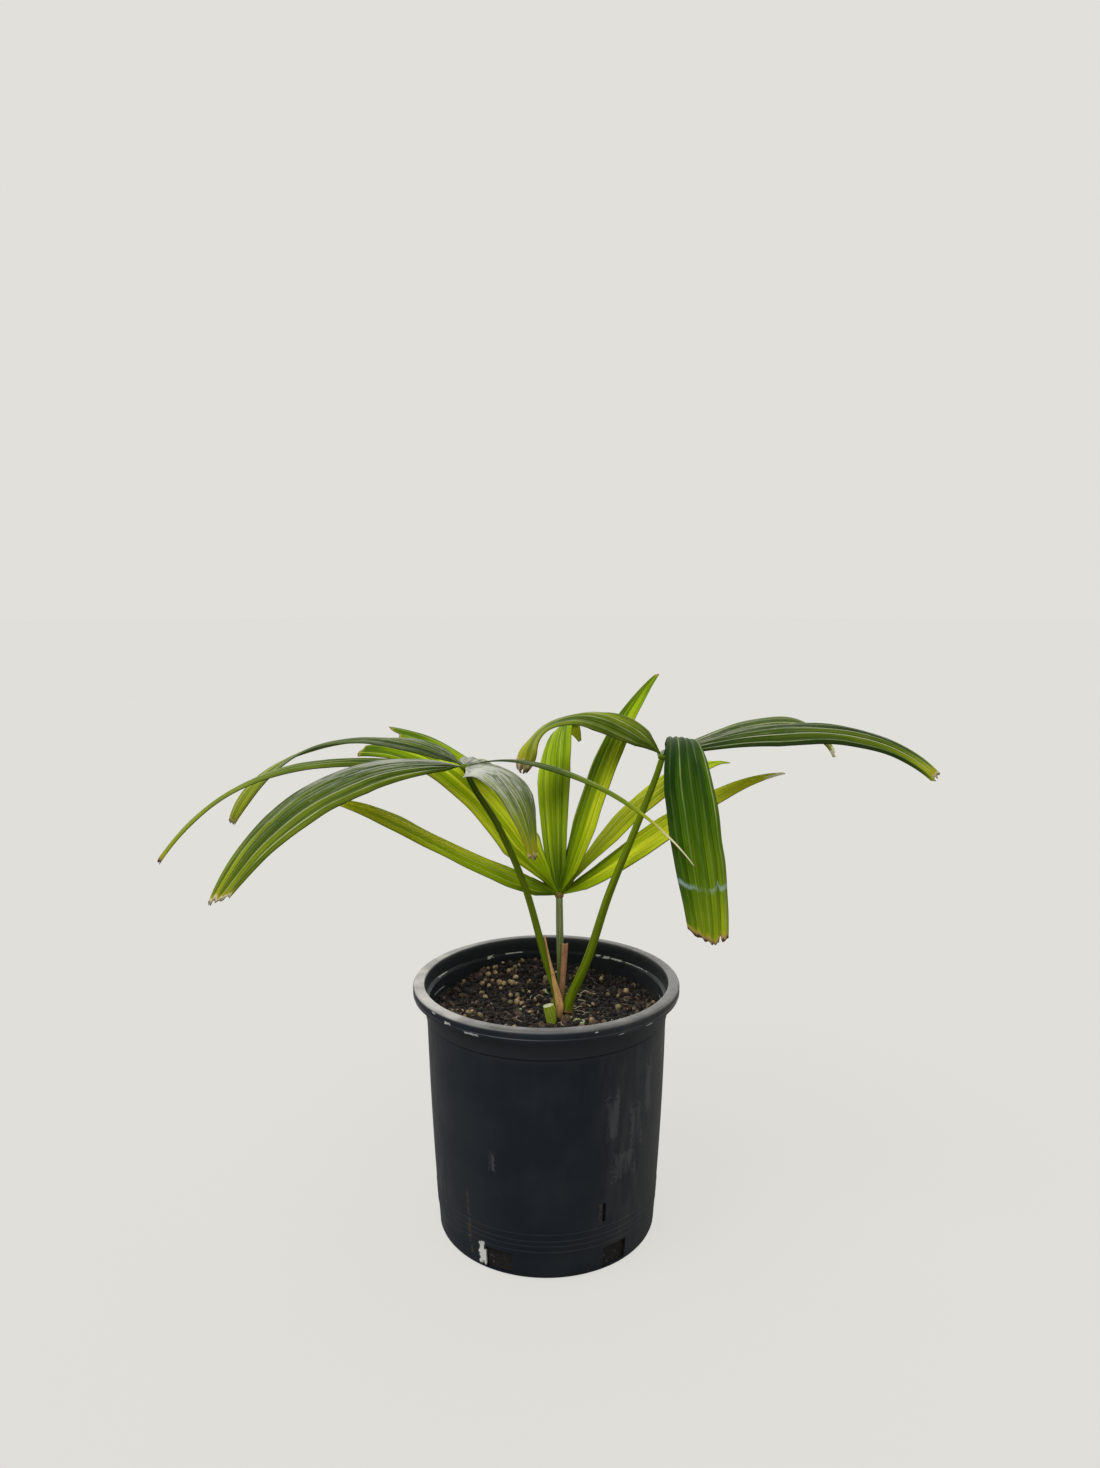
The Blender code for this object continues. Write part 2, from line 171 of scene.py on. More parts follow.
RIGHT_LEAF = [
    Leaflet("right_arch", (163.5, 163.5, 199), (53.5, 15.5, -29, -99), (-32, -14, 3, -34), 121, 35, 0.39,
            0.63, 0.82, 0.16),
    Leaflet("right_front", (-60, -93, -85, -88), (48.5, -14, -49, -65), (0, -15, -10), 186, 30, 0.57, 0.59,
            0.74, 0.63),
    Leaflet("right_side", (-0.5, -3, -20), (22.5, 8.5, -10, -48), (17, 13, 17), 176, 34, 0.4, 0.84, 0.45,
            0.42),
    Leaflet("right_far", (29.5, 29, 33), (17, 11, -8, -59), (6, 6, 44), 154, 33, 0.45, 0.55, 0.58, 0.4),
    Leaflet("right_back", (74, 76, 78), (-1, -4, -9, -20), (0, 0, 0), 100, 20, 0.42, 0.6, 0.6, 0.25),
]
CENTRE_LEAF = [
    Leaflet("centre_left", (188.5, 191, 192), (27.5, 26.5, 29.5, 11.5), (-16, -7, -12), 151, 31, 0.25, 0.36,
            0.69, 0.22),
    Leaflet("centre_wide", (153, 149, 151), (51, 44, 22, -4.5), (-8, -6, -23), 183, 41, 0.22, 1.2, 0.9,
            1.00),
    Leaflet("centre_upright", (103.5, 85.5, 65.5), (54.5, 57.5, 19.5, -54), (-39, -38, -41), 185, 28, 0.44,
            0.54, 0.52, 0.07),
    Leaflet("centre_tall", (32.5, 38, 44.5), (66.5, 68, 55, 29), (-11, -13, -16), 163, 32, 0.29, 0.45, 0.55,
            0.12),
    Leaflet("centre_right", (38.5, 32, 34.5), (45, 37.5, 23, -15), (-31, -8, -3), 166, 31, 0.3, 0.81, 0.7,
            0.04),
    Leaflet("centre_low", (3, 13, 21.5), (28.5, 34, 24, 0.5), (13, 4, 7), 171, 34, 0.35, 0.48, 0.48, 0.06,
            close=1.0),
]
LEAVES = {"left": LEFT_LEAF, "right": RIGHT_LEAF, "centre": CENTRE_LEAF}

# How far a blade's edges curve down below its spine, as a share of its width: by leaf, then for the leaflets
# that are flatter than the rest of their leaf
CROWNS = {"left": 0.1, "right": 0.1, "centre": 0.04}
FLAT_CROWNS = {"left_far": 0.04, "right_front": 0.03, "left_middle": 0.06}

# How each leaflet looks: its pale ribs, how deep its end is torn, the lengths in mm of its end that are brown
# and yellow, the painted grey sheen near its hub, the side that the sheen lies on (1 is the blade's left),
# how light its green is, how much lighter it gets towards its end, how much painted light lifts its left side
# (lean), how straw pale its dry end is, the power by which it gets lighter (late), and the share of its
# length over which the sheen fades (reach)
Finish = namedtuple("Finish", "ribs torn dry gold bloom edge light fresh lean straw late reach",
                    defaults=[0.0, 0.0, 2.4, 0.55])
FINISHES = {
    "left_far": Finish(6, 2.5, 2.0, 7, 0.85, -0.3, 0.38, 0.65, straw=0.3, reach=0.8),
    "left_middle": Finish(4, 3.0, 2.0, 9, 0.35, -0.5, 0.24, 0.5),
    "left_near": Finish(6, 3.0, 3.0, 9, 1.35, -0.7, 0.32, 0.4, lean=0.1, straw=0.5, reach=0.66),
    "left_front": Finish(5, 3.0, 3.0, 18, 2.6, -0.2, 0.36, 0.6, straw=0.3, late=6.0, reach=0.72),
    "left_thread": Finish(2, 1.0, 20.0, 45, 0.3, 0.0, 0.12, 1.3, straw=0.7),
    "left_back": Finish(3, 2.0, 2.0, 8, 1.9, 0.0, 0.4, 0.3),
    "right_arch": Finish(5, 4.0, 7.0, 22, 0.1, 0.5, 0.5, 0.85, straw=0.25, late=3.0),
    "right_front": Finish(5, 1.8, 2.5, 6, 0.0, 0.0, 0.02, 0.95, lean=0.16),
    "right_side": Finish(5, 3.0, 2.0, 9, 0.55, 0.9, 0.08, 1.05, straw=0.4, late=9.0, reach=0.75),
    "right_far": Finish(4, 3.0, 9.0, 25, 0.95, 0.5, 0.2, 0.6, straw=0.9),
    "right_back": Finish(4, 2.0, 2.0, 8, 0.3, 0.0, 0.34, 0.3),
    "centre_left": Finish(4, 1.0, 1.2, 4, 0.0, 0.0, 0.7, 0.25, lean=-0.18),
    "centre_wide": Finish(6, 1.5, 1.0, 3, 0.0, 0.0, 0.98, -1.4),
    "centre_upright": Finish(5, 1.5, 0.3, 2, 0.22, 0.0, 0.6, -0.85, reach=3.0),
    "centre_tall": Finish(5, 1.0, 1.2, 4, 0.0, 0.0, 0.68, -0.7, lean=-0.38),
    "centre_right": Finish(4, 1.0, 1.2, 4, 0.0, 0.0, 1.1, -0.6),
    "centre_low": Finish(4, 1.0, 13.0, 6, 0.0, 0.0, 0.88, 0.7, straw=1.0),
}

# Leaflets in a deeper green than the rest of their leaf
DEEP_GREEN = ("right_front",)

# How much darker a blade is at its root, by slot
FOOT_SHADE = {"new_leaf": 0.8, "old_leaf": 0.18}

# How much lighter a leaflet's end is where it bends over into the light, from which share of its length
TIP_LIGHT = {"centre_upright": 1.3}
TIP_START = 0.86
TIP_BLEND = 0.06

# Lengths in mm missing from a leaflet's end, from its right edge (-1) to its left edge (1)
TORN_ENDS = {
    "left_near": ((-1, 0), (0, 2), (1, 8)),
    "right_front": ((-1, 8), (-0.7, 4), (-0.2, 1.2), (0.25, 0), (0.45, 1), (0.55, 5.5), (0.65, 1.5), (1, 4)),
    "centre_wide": ((-1, 0), (-0.75, 6), (-0.5, 16), (-0.2, 22), (0.15, 16), (0.45, 3), (0.75, 0), (1, 2)),
}

# The pale smear across one leaflet, in mm from its end
SMEARED = "right_front"
SMEAR_REACH = 26.5
SMEAR_HEIGHT = 2.6


class Wire:
    """One output of a node, with arithmetic that adds more nodes behind it."""

    def __init__(self, graph, socket):
        self.graph = graph
        self.socket = socket

    def __add__(self, other):
        return self.graph.math("ADD", self, other)

    def __sub__(self, other):
        return self.graph.math("SUBTRACT", self, other)

    def __mul__(self, other):
        return self.graph.math("MULTIPLY", self, other)

    def distance(self, other):
        return self.graph.math("ABSOLUTE", self - other)

    def step(self, low, high, first=0.0, second=1.0):
        """A smooth step, from first where this is low to second where it is high."""
        inputs = {"Value": self, "From Min": low, "From Max": high, "To Min": first, "To Max": second}
        return self.graph.wire("ShaderNodeMapRange", inputs, interpolation_type="SMOOTHSTEP")


class Graph:
    """Short calls for the nodes of one material."""

    def __init__(self, name, **sockets):
        self.material = bpy.data.materials.new(name)
        self.material.use_nodes = True
        self.tree = self.material.node_tree
        self.shader = self.tree.nodes["Principled BSDF"].inputs
        for socket, value in sockets.items():
            self.feed(self.shader[socket.replace("_", " ")], value)

    @classmethod
    def of(cls, tree):
        """The same short calls for a node tree that exists."""
        made = cls.__new__(cls)
        made.tree = tree
        return made

    def feed(self, socket, value):
        """Sets a socket to a wire, a number or a colour."""
        if isinstance(value, Wire):
            self.tree.links.new(value.socket, socket)
        elif isinstance(value, tuple) and len(value) == 3 and socket.type == "RGBA":
            socket.default_value = (*value, 1.0)
        else:
            socket.default_value = value

    def node(self, kind, inputs=(), **settings):
        made = self.tree.nodes.new(kind)
        for setting, value in settings.items():
            setattr(made, setting, value)
        for socket, value in dict(inputs).items():
            self.feed(made.inputs[socket], value)
        return made

    def wire(self, kind, inputs=(), output=0, **settings):
        """Adds a node and gives one of its outputs."""
        return Wire(self, self.node(kind, inputs, **settings).outputs[output])

    def math(self, operation, first, second=0.0):
        return self.wire("ShaderNodeMath", {0: first, 1: second}, operation=operation)

    def mix(self, factor, first, second):
        return self.wire("ShaderNodeMix", {0: factor, 6: first, 7: second}, 2, data_type="RGBA")

    def ramp(self, value, colours):
        """Blends through colours at even steps of value, from 0 to 1."""
        made = self.node("ShaderNodeValToRGB", {0: value})
        stops = made.color_ramp.elements
        for index in range(1, len(colours) - 1):
            stops.new(index / (len(colours) - 1))
        for stop, colour in zip(stops, colours):
            stop.color = (*colour, 1.0)
        return Wire(self, made.outputs[0])

    def noise(self, vector, scale, detail=2.0, rough=0.5):
        inputs = {"Vector": vector, "Scale": scale, "Detail": detail, "Roughness": rough}
        return self.wire("ShaderNodeTexNoise", inputs)

    def vector(self, x, y, z):
        return self.wire("ShaderNodeCombineXYZ", {0: x, 1: y, 2: z})

    def streaks(self, across, along, layer):
        """A noise that runs in streaks along a leaf or stalk."""
        return self.noise(self.vector(across, along, layer), 1.0, 3)

    def place(self, kind="Object"):
        """The point on the piece, and its X, Y and Z."""
        point = self.wire("ShaderNodeTexCoord", (), kind)
        split = self.node("ShaderNodeSeparateXYZ", {0: point})
        return point, *(Wire(self, output) for output in split.outputs)

    def values_of(self, *names):
        """The mesh's own values, by the names of its attributes."""
        return [self.wire("ShaderNodeAttribute", (), "Fac", attribute_name=name) for name in names]

    def finished(self, colour, rough, height, strength, distance):
        """The material, with its colour, its roughness and the height of its bumps."""
        self.feed(self.shader["Base Color"], colour)
        self.feed(self.shader["Roughness"], rough)
        bumps = {"Height": height, "Strength": strength, "Distance": distance}
        self.feed(self.shader["Normal"], self.wire("ShaderNodeBump", bumps))
        return self.material


def leaf_material(name, greens, rib, valley, rough, rib_strength, valley_strength, contrast,
                  edge=(0.055, 0.036, 0.03), gloss=0.03):
    """Pleated leaf skin: each pleat face has its own painted lightness, standing in for the light that falls
    on it, with pale ribs on the folds, painted shade in the valleys between them, a painted silver sheen near
    the hub, dark edges, and an end that yellows and dries."""
    look = Graph(name, Specular_IOR_Level=gloss)
    along, across, gold, dry, scar, bloom, light, straw, rim = look.values_of(
        "along", "across", "gold", "dry", "scar", "bloom", "light", "straw", "rim")
    streak = look.streaks(across * 7.0, along * 1.6, 0.0)
    hair = look.streaks(across * 26.0, along * 2.2, 7.0)
    patch = look.streaks(across * 0.9, along * 6.3, 3.0)
    cloud = look.streaks(across * 2.2, along * 9.0, 12.0)
    flecks = look.streaks(across * 4.0, along * 26.0, 21.0)
    nearest_rib = look.math("ROUND", across)
    fold = across.distance(nearest_rib)
    # Painted light: each face of a pleat gets its own random lightness, standing in for the light that falls
    # differently on each face
    face = look.math("FLOOR", across * 2.0)
    face_light = look.noise(look.vector(face * 1.7, along * 0.8, 5.0), 1.0, 0.0)
    rib_tone = look.noise(look.vector(nearest_rib * 2.3, along * 0.5, 9.0), 1.0, 0.0)

    tone = light + (face_light - 0.5) * contrast + (streak - 0.5) * 0.6
    tone = tone + (hair - 0.5) * 0.6 + (patch - 0.5) * 0.5
    green = look.ramp(tone, greens)
    # Painted shade in the valleys between the ribs
    crease = fold.step(0.44, 0.485) * patch.step(0.3, 0.6, 0.4, 1.0)
    green = look.mix(crease * valley_strength, green, valley)
    ridge = fold.step(0.03, 0.085, 1.0, 0.0) * patch.step(0.32, 0.56, 0.3, 1.0)
    ridge = ridge * rib_tone.step(0.38, 0.6, 0.2, 1.0) * along.step(0.03, 0.16)
    green = look.mix(ridge * rib_strength, green, rib)

    # The painted sheen near the hub: grey, turning silver where it is strongest, laid on in ragged streaks
    # and flecks
    ragged = hair * 1.3 + streak * 0.6 + cloud * 0.8 + bloom * 0.24
    streak_cover = look.math("MAXIMUM", ragged.step(1.5, 1.66, 0.04, 1.15), flecks.step(0.6, 0.7, 0.0, 0.8))
    silver = look.mix(bloom.step(1.0, 1.9), GREY_SHEEN, SILVER_SHEEN)
    green = look.mix(look.math("MINIMUM", bloom * streak_cover, 0.92), green, silver)

    wander = (streak + patch - 1.0) * 0.8
    colour = look.mix((gold + wander).step(0.25, 0.85) * 0.9, green, YELLOWED)
    brown = (dry + wander).step(0.35, 0.6)
    colour = look.mix(brown, colour, look.mix(straw, DRIED, PAPERY))
    burnt = (dry + wander * 1.5).step(0.72, 0.92) * straw.step(0.0, 1.0, 0.85, 0.0)
    colour = look.mix(burnt, colour, BURNT)
    smear = (scar + (hair - 0.5) * 1.6).step(0.25, 0.6) * scar.step(0.0, 0.25)
    colour = look.mix(smear * 0.62, colour, SMEAR_COLOUR)
    worn = rim * streak.step(0.42, 0.6) * dry.step(0.0, 0.3, 0.6, 0.0)
    colour = look.mix(worn, colour, edge)
    dull = hair.step(0.2, 0.8, rough - 0.05, rough + 0.1) + brown * 0.3
    return look.finished(colour, dull, hair * 0.3 + ridge * 1.2, 0.5, 0.00015)


def stalk_material(name, dark, light, dark_top=0.0, green_foot=0.0):
    """Stalk skin in long streaks, brown at its foot, with painted shade that darkens it towards its top by
    the share dark_top, and a fuller green low down by the share green_foot."""
    look = Graph(name, Specular_IOR_Level=0.06)
    along, across, dry = look.values_of("along", "across", "dry")
    streak = look.streaks(across * 9.0, along * 4.0, 0.0)
    patch = look.streaks(across * 0.8, along * 19.0, 2.0)
    green = look.mix(streak.step(0.3, 0.7), dark, light)
    green = look.mix(patch.step(0.55, 0.75) * 0.25, green, (0.18, 0.17, 0.02))
    # Painted shade towards the top of the stalk
    green = look.mix(along.step(0.45, 0.9, 0.0, dark_top), green, (0.014, 0.024, 0.003))
    green = look.mix(along.step(0.4, 0.95, green_foot, 0.0), green, (0.075, 0.13, 0.012))
    colour = look.mix((dry + patch * 0.3).step(0.5, 1.1), green, (0.26, 0.16, 0.06))
    return look.finished(colour, patch.step(0.3, 0.8, 0.32, 0.48), streak, 0.35, 0.0002)


def dry_material(name, dark, light):
    """The dry fibres of an old leaf base, with darker patches."""
    look = Graph(name)
    along, across = look.values_of("along", "across")
    fibre = look.streaks(across * 12.0, along * 2.0, 5.0)
    patch = look.streaks(across, along * 9.0, 1.0)
    colour = look.mix(fibre.step(0.25, 0.75), dark, light)
    colour = look.mix(patch.step(0.52, 0.7) * 0.4, colour, (0.16, 0.075, 0.03))
    return look.finished(colour, fibre.step(0.2, 0.8, 0.75, 0.55), fibre, 0.7, 0.0003)


def spots_on_pot(look, marks):
    """A ragged mask round each of the marks."""
    point, x, y, z = look.place()
    angle = look.math("ARCTAN2", x, y * -1.0)
    ragged = (look.noise(point, 420.0) - 0.5) * 1.6
    mask = 0.0
    for degrees, height, half_degrees, half_height in marks:
        wide = angle.distance(math.radians(degrees)) * (1 / math.radians(half_degrees))
        high = z.distance(height * MM) * (1 / (half_height * MM))
        edge = look.math("MAXIMUM", wide, high) + ragged
        mask = look.math("MAXIMUM", mask, edge.step(0.75, 1.0, 1.0, 0.0))
    return mask


def pot_material():
    """Satin black moulded plastic: faint scuffs, dust with a painted sheen towards the right edge, a painted
    reflection on the lip's top, dried water marks and a few painted glints on the lip's outer face.
    """
    look = Graph("pot_plastic", Specular_IOR_Level=0.28)
    point, x, y, z = look.place()
    broad = look.noise(point, 28.0, 3)
    fine = look.noise(point, 900.0, 2)
    upright = look.noise(look.vector(x * 6.0, y * 6.0, z), 45.0, 4)
    radius = look.math("SQRT", x * x + y * y)
    wall = radius.step(66 * MM, 67 * MM)
    inside = radius.step(75.4 * MM, 75.9 * MM, 1.0, 0.0)
    lip_side = radius.step(LIP_RADIUS - 0.9 * MM, LIP_RADIUS - 0.4 * MM)
    above_soil = z.step(SOIL_EDGE - 6 * MM, SOIL_EDGE)

    # Dust in vertical streaks on the right of the pot, with painted sheen that lightens it further towards
    # the right edge
    streak_cover = upright.step(0.35, 0.7, 0.35, 1.0) * x.step(20 * MM, 50 * MM, 0.03, 0.46)
    streak_cover = streak_cover * x.step(58 * MM, 74 * MM, 1.0, 1.5)
    rubbed = spots_on_pot(look, SCUFFS) * upright.step(0.35, 0.6, 0.2, 1.0)
    # Painted reflection of the light on the lip's top, in patches, paler and stronger on the left
    lip_top = z.step(POT_HEIGHT - 1.6 * MM, POT_HEIGHT - 0.3 * MM)
    lip_top = lip_top * look.noise(point, 75.0, 4).step(0.3, 0.7, 0.6, 1.0)
    to_right = x.step(-70 * MM, -25 * MM)
    lip_sheen = look.mix(to_right, (0.61, 0.595, 0.555), (0.26, 0.25, 0.228))
    seam = z.distance(POT_SHOULDER_HEIGHT - 0.1 * MM).step(0.3 * MM, 0.7 * MM, 1.0, 0.0)
    layers = [
        (streak_cover, (0.075, 0.074, 0.07)),
        (rubbed * 0.6, (0.09, 0.093, 0.098)),
        (lip_top * to_right.step(0.0, 1.0, 1.0, 0.56), lip_sheen),
        (inside * above_soil * 0.7, (0.027, 0.033, 0.037)),
        (spots_on_pot(look, WATER_MARKS) * inside * 0.9, (0.62, 0.62, 0.58)),
        (spots_on_pot(look, LIP_GLINTS) * lip_side * 0.85, (0.62, 0.62, 0.6)),
        (spots_on_pot(look, SCRATCHES) * wall * fine.step(0.4, 0.6), (0.085, 0.06, 0.03)),
        (spots_on_pot(look, PAINT_SPOTS) * wall, (0.8, 0.8, 0.77)),
        (seam * wall * 0.8, (0.0015, 0.0025, 0.004)),
    ]
    colour = look.mix(broad.step(0.35, 0.7), (0.008, 0.0138, 0.0225), (0.015, 0.0205, 0.0285))
    for mask, tint in layers:
        colour = look.mix(mask, colour, tint)
    return look.finished(colour, upright.step(0.3, 0.8, 0.3, 0.46), fine * 0.25 + upright, 0.25, 0.0002)


def grain_material(name, dark, light, rough=0.9, scale=420.0):
    """A matt speckle for soil, bark, beads and roots."""
    look = Graph(name)
    speck = look.noise(look.place()[0], scale, 4, 0.7)
    colour = look.mix(speck.step(0.35, 0.68), dark, light)
    return look.finished(colour, speck.step(0.3, 0.8, rough, rough - 0.25), speck, 0.6, 0.0004)


def piece(name, points, faces, material, replaced=(), smooth_deg=40, values=None):
    """A mesh object that rides on the root body. values maps an attribute's name to one number a point."""
    mesh = bpy.data.meshes.new(name)
    mesh.from_pydata([tuple(point) for point in points], [], [tuple(face) for face in faces])
    for attribute, numbers in (values or {}).items():
        layer = mesh.attributes.new(attribute, "FLOAT", "POINT")
        layer.data.foreach_set("value", np.asarray(numbers, np.float32))
    shape = bmesh.new()
    shape.from_mesh(mesh)
    bmesh.ops.recalc_face_normals(shape, faces=shape.faces)
    shape.to_mesh(mesh)
    shape.free()
    mesh.shade_smooth()
    mesh.set_sharp_from_angle(angle=math.radians(smooth_deg))
    made = bpy.data.objects.new(name, mesh)
    bpy.context.scene.collection.objects.link(made)
    for one in material if isinstance(material, list) else [material]:
        mesh.materials.append(one)
    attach(made, "root")
    if replaced:
        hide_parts(*replaced)
    return made


def grid_faces(rows, columns, loop=False):
    """Quads over a grid of rows by columns of points, closed round the columns if loop is set."""
    faces = []
    for row in range(rows - 1):
        for column in range(columns if loop else columns - 1):
            after = (column + 1) % columns
            faces.append((row * columns + column, row * columns + after,
                          (row + 1) * columns + after, (row + 1) * columns + column))
    return faces


def closed_faces(rows, columns):
    """Faces of a tube of rows by columns of points, with a cap at both ends."""
    last = (rows - 1) * columns
    caps = [tuple(range(columns)), tuple(range(last + columns - 1, last - 1, -1))]
    return grid_faces(rows, columns, loop=True) + caps


def noise_at(x, y, z):
    """Smooth noise from -1 to 1."""
    return noise.noise(Vector((x, y, z)))


def smooth_path(knots, count):
    """Points at even steps along a Catmull-Rom curve through knots."""
    knots = np.asarray(knots, float)
    padded = np.vstack([2 * knots[0] - knots[1], knots, 2 * knots[-1] - knots[-2]])
    path = []
    for share in np.linspace(0, len(knots) - 1, count):
        first = min(int(share), len(knots) - 2)
        t = share - first
        a, b, c, d = padded[first:first + 4]
        path.append(0.5 * (2 * b + (c - a) * t + (2 * a - 5 * b + 4 * c - d) * t * t
                           + (3 * b - a - 3 * c + d) * t ** 3))
    return np.array(path)


def tube(path, radii, sides, section=None):
    """Points and faces of a closed tube along path. section(angle, share) scales its radius."""
    path = np.asarray(path, float)
    ahead = np.gradient(path, axis=0)
    ahead /= np.linalg.norm(ahead, axis=1)[:, None]
    side = np.cross(ahead[0], (0.0, 0.0, 1.0) if abs(ahead[0][2]) < 0.9 else (0.0, 1.0, 0.0))
    angles = np.linspace(0, 2 * math.pi, sides, endpoint=False)
    points = []
    for index, (spot, direction, radius) in enumerate(zip(path, ahead, radii)):
        side = side - direction * side.dot(direction)
        side /= np.linalg.norm(side)
        other = np.cross(direction, side)
        for angle in angles:
            reach = radius * (section(angle, index / (len(path) - 1)) if section else 1.0)
            points.append(spot + (side * math.cos(angle) + other * math.sin(angle)) * reach)
    return points, closed_faces(len(path), sides)


def joined(shapes):
    """One list of points and one of faces from many."""
    points, faces = [], []
    for new_points, new_faces in shapes:
        faces += [tuple(index + len(points) for index in face) for face in new_faces]
        points += list(new_points)
    return points, faces


def wall_radius(height):
    """The pot's outside at a height: a taper with a slight bulge."""
    share = height / POT_SHOULDER_HEIGHT
    straight = POT_BASE_RADIUS + (POT_SHOULDER_RADIUS - POT_BASE_RADIUS) * share
    return straight + 4 * POT_BULGE * share * (1 - share)


def soil_height(radius):
    """The level of the soil before its lumps: a shallow dish."""
    share = radius / wall_radius(SOIL_EDGE)
    return SOIL_EDGE - SOIL_DISH * (1 - share * share)


def around(radius, angle, height=0.0):
    """A point round the pot's axis, its angle in radians from +X."""
    return radius * math.cos(angle), radius * math.sin(angle), height


def arc(centre, radius, start_deg, end_deg, steps):
    """Points along a piece of a circle in the pot's profile."""
    angles = np.radians(np.linspace(start_deg, end_deg, steps + 1))
    return [(centre[0] + radius * math.cos(a), centre[1] + radius * math.sin(a)) for a in angles]


def beside(radius, height, steps):
    """Profile points, each a step in mm out from radius and up from height."""
    return [(radius + out * MM, height + up * MM) for out, up in steps]


def pot_profile():
    """(radius, height) round the pot's section: over the lip, down the outside, under it, up the inside."""
    lip_foot = POT_HEIGHT - LIP_DEPTH
    shoulder = POT_SHOULDER_HEIGHT
    outside = arc((MOUTH_RADIUS + 1.6 * MM, POT_HEIGHT - 1.4 * MM), 1.4 * MM, 130, 90, 3)
    outside += beside(LIP_RADIUS, POT_HEIGHT, [(-3.4, -0.05)])
    outside += arc((LIP_RADIUS - 2.2 * MM, POT_HEIGHT - 2.2 * MM), 2.2 * MM, 80, 0, 5)
    outside += beside(LIP_RADIUS, lip_foot, [(-0.35, 2.6), (0, 2.15), (0, 1.65), (-0.3, 1.1)])
    outside += beside(LIP_RADIUS, lip_foot, [(-0.5, 0.3), (-1.2, 0), (-1.8, 0.5)])
    outside += beside(COLLAR_RADIUS, lip_foot, [(0.9, 0.4), (0.15, -0.5), (0, -5)])
    outside += beside(COLLAR_RADIUS, shoulder, [(-0.05, 0.8), (-0.6, 0.25)])
    outside += beside(POT_SHOULDER_RADIUS, shoulder, [(-0.1, -0.3), (0.15, -1.2)])
    for height in np.linspace(shoulder - 8 * MM, RING_HEIGHTS[0] + 6 * MM, 14):
        outside.append((wall_radius(height), height))
    for height in RING_HEIGHTS:
        for up, proud in ((0.6, 0.0), (0.25, 0.8), (0.0, 1.0), (-0.25, 0.8), (-0.6, 0.0)):
            outside.append((wall_radius(height) + proud * RING_PROUD, height + up * MM))
    for height in (13 * MM, 8 * MM):
        outside.append((wall_radius(height), height))
    outside += arc((wall_radius(FOOT_ROUND) - FOOT_ROUND, FOOT_ROUND), FOOT_ROUND, 0, -90, 6)
    outside += [(radius * MM, 0.0) for radius in (60, 40, 20, 6)]
    inside = [(radius * MM, POT_FLOOR) for radius in (6, 30, 60)]
    for height in np.linspace(POT_FLOOR, MOUTH_LEDGE, 12):
        inside.append((wall_radius(min(height, shoulder)) - POT_WALL, height))
    inside += beside(MOUTH_RADIUS, MOUTH_LEDGE, [(-0.5, 0.5), (0, 1.2)])
    inside += beside(MOUTH_RADIUS, POT_HEIGHT, [(0, -3.4), (0.25, -2.0)])
    return outside, inside


def pot(material):
    """The pot, with its drain notches and slots cut through the wall."""
    outside, inside = pot_profile()
    points = []
    for radius, height in inside + outside:
        lean = height / POT_HEIGHT
        for step in range(POT_STEPS):
            angle = 2 * math.pi * step / POT_STEPS
            wobble = 0.3 * math.sin(2 * angle + 0.7) + 0.16 * math.sin(3 * angle + 4 * lean)
            reach = radius + wobble * lean * MM * (radius > 30 * MM)
            points.append(around(reach, angle, height))
    faces = closed_faces(len(inside + outside), POT_STEPS)
    made = piece("fine_pot", points, faces, material, ["pot"], 30)
    middle = (NOTCH_HEIGHT + POT_FLOOR) / 2
    notch = (14 * MM, NOTCH_WIDTH, NOTCH_HEIGHT - POT_FLOOR)
    openings = [(NOTCH_FIRST_DEG + 360 / NOTCHES * index, notch, middle) for index in range(NOTCHES)]
    openings += [(degrees, SLOT_SIZE, SLOT_MIDDLE) for degrees in SLOT_DEGREES]
    shape = bmesh.new()
    for degrees, size, height in openings:
        angle = math.radians(degrees - 90)
        spot = Matrix.Translation(around(wall_radius(height), angle, height))
        box = spot @ Matrix.Rotation(angle, 4, "Z") @ Matrix.Diagonal((*size, 1))
        bmesh.ops.create_cube(shape, size=1, matrix=box)
    mesh = bpy.data.meshes.new("pot_openings")
    shape.to_mesh(mesh)
    shape.free()
    cutter = bpy.data.objects.new("pot_openings", mesh)
    bpy.context.scene.collection.objects.link(cutter)
    cut = made.modifiers.new("openings", "BOOLEAN")
    cut.operation = "DIFFERENCE"
    cut.object = cutter
    settle(made)
    bpy.data.objects.remove(cutter, do_unlink=True)


def settle(made):
    """Puts the result of a piece's modifiers into its mesh."""
    graph = bpy.context.evaluated_depsgraph_get()
    done = made.evaluated_get(graph)
    mesh = bpy.data.meshes.new_from_object(done, preserve_all_data_layers=True, depsgraph=graph)
    made.modifiers.clear()
    old = made.data
    made.data = mesh
    bpy.data.meshes.remove(old)


def thicken(made, thickness, two_looks=False):
    """Gives a sheet its thickness, and its second material on the under side if two_looks is set."""
    thick = made.modifiers.new("thickness", "SOLIDIFY")
    thick.thickness = thickness
    thick.offset = 0
    thick.material_offset = int(two_looks)
    settle(made)


def smooth_angle(angles, share):
    """Radians along the one smooth curve through angles, in degrees at even steps of share."""
    steps = np.linspace(0, 1, len(angles))
    return np.radians(np.polyval(np.polyfit(steps, angles, len(angles) - 1), share))


def between(where, share, values):
    """Points or vectors at where, between the rows of values that stand at share."""
    return np.stack([np.interp(where, share, values[:, axis]) for axis in range(3)], -1)


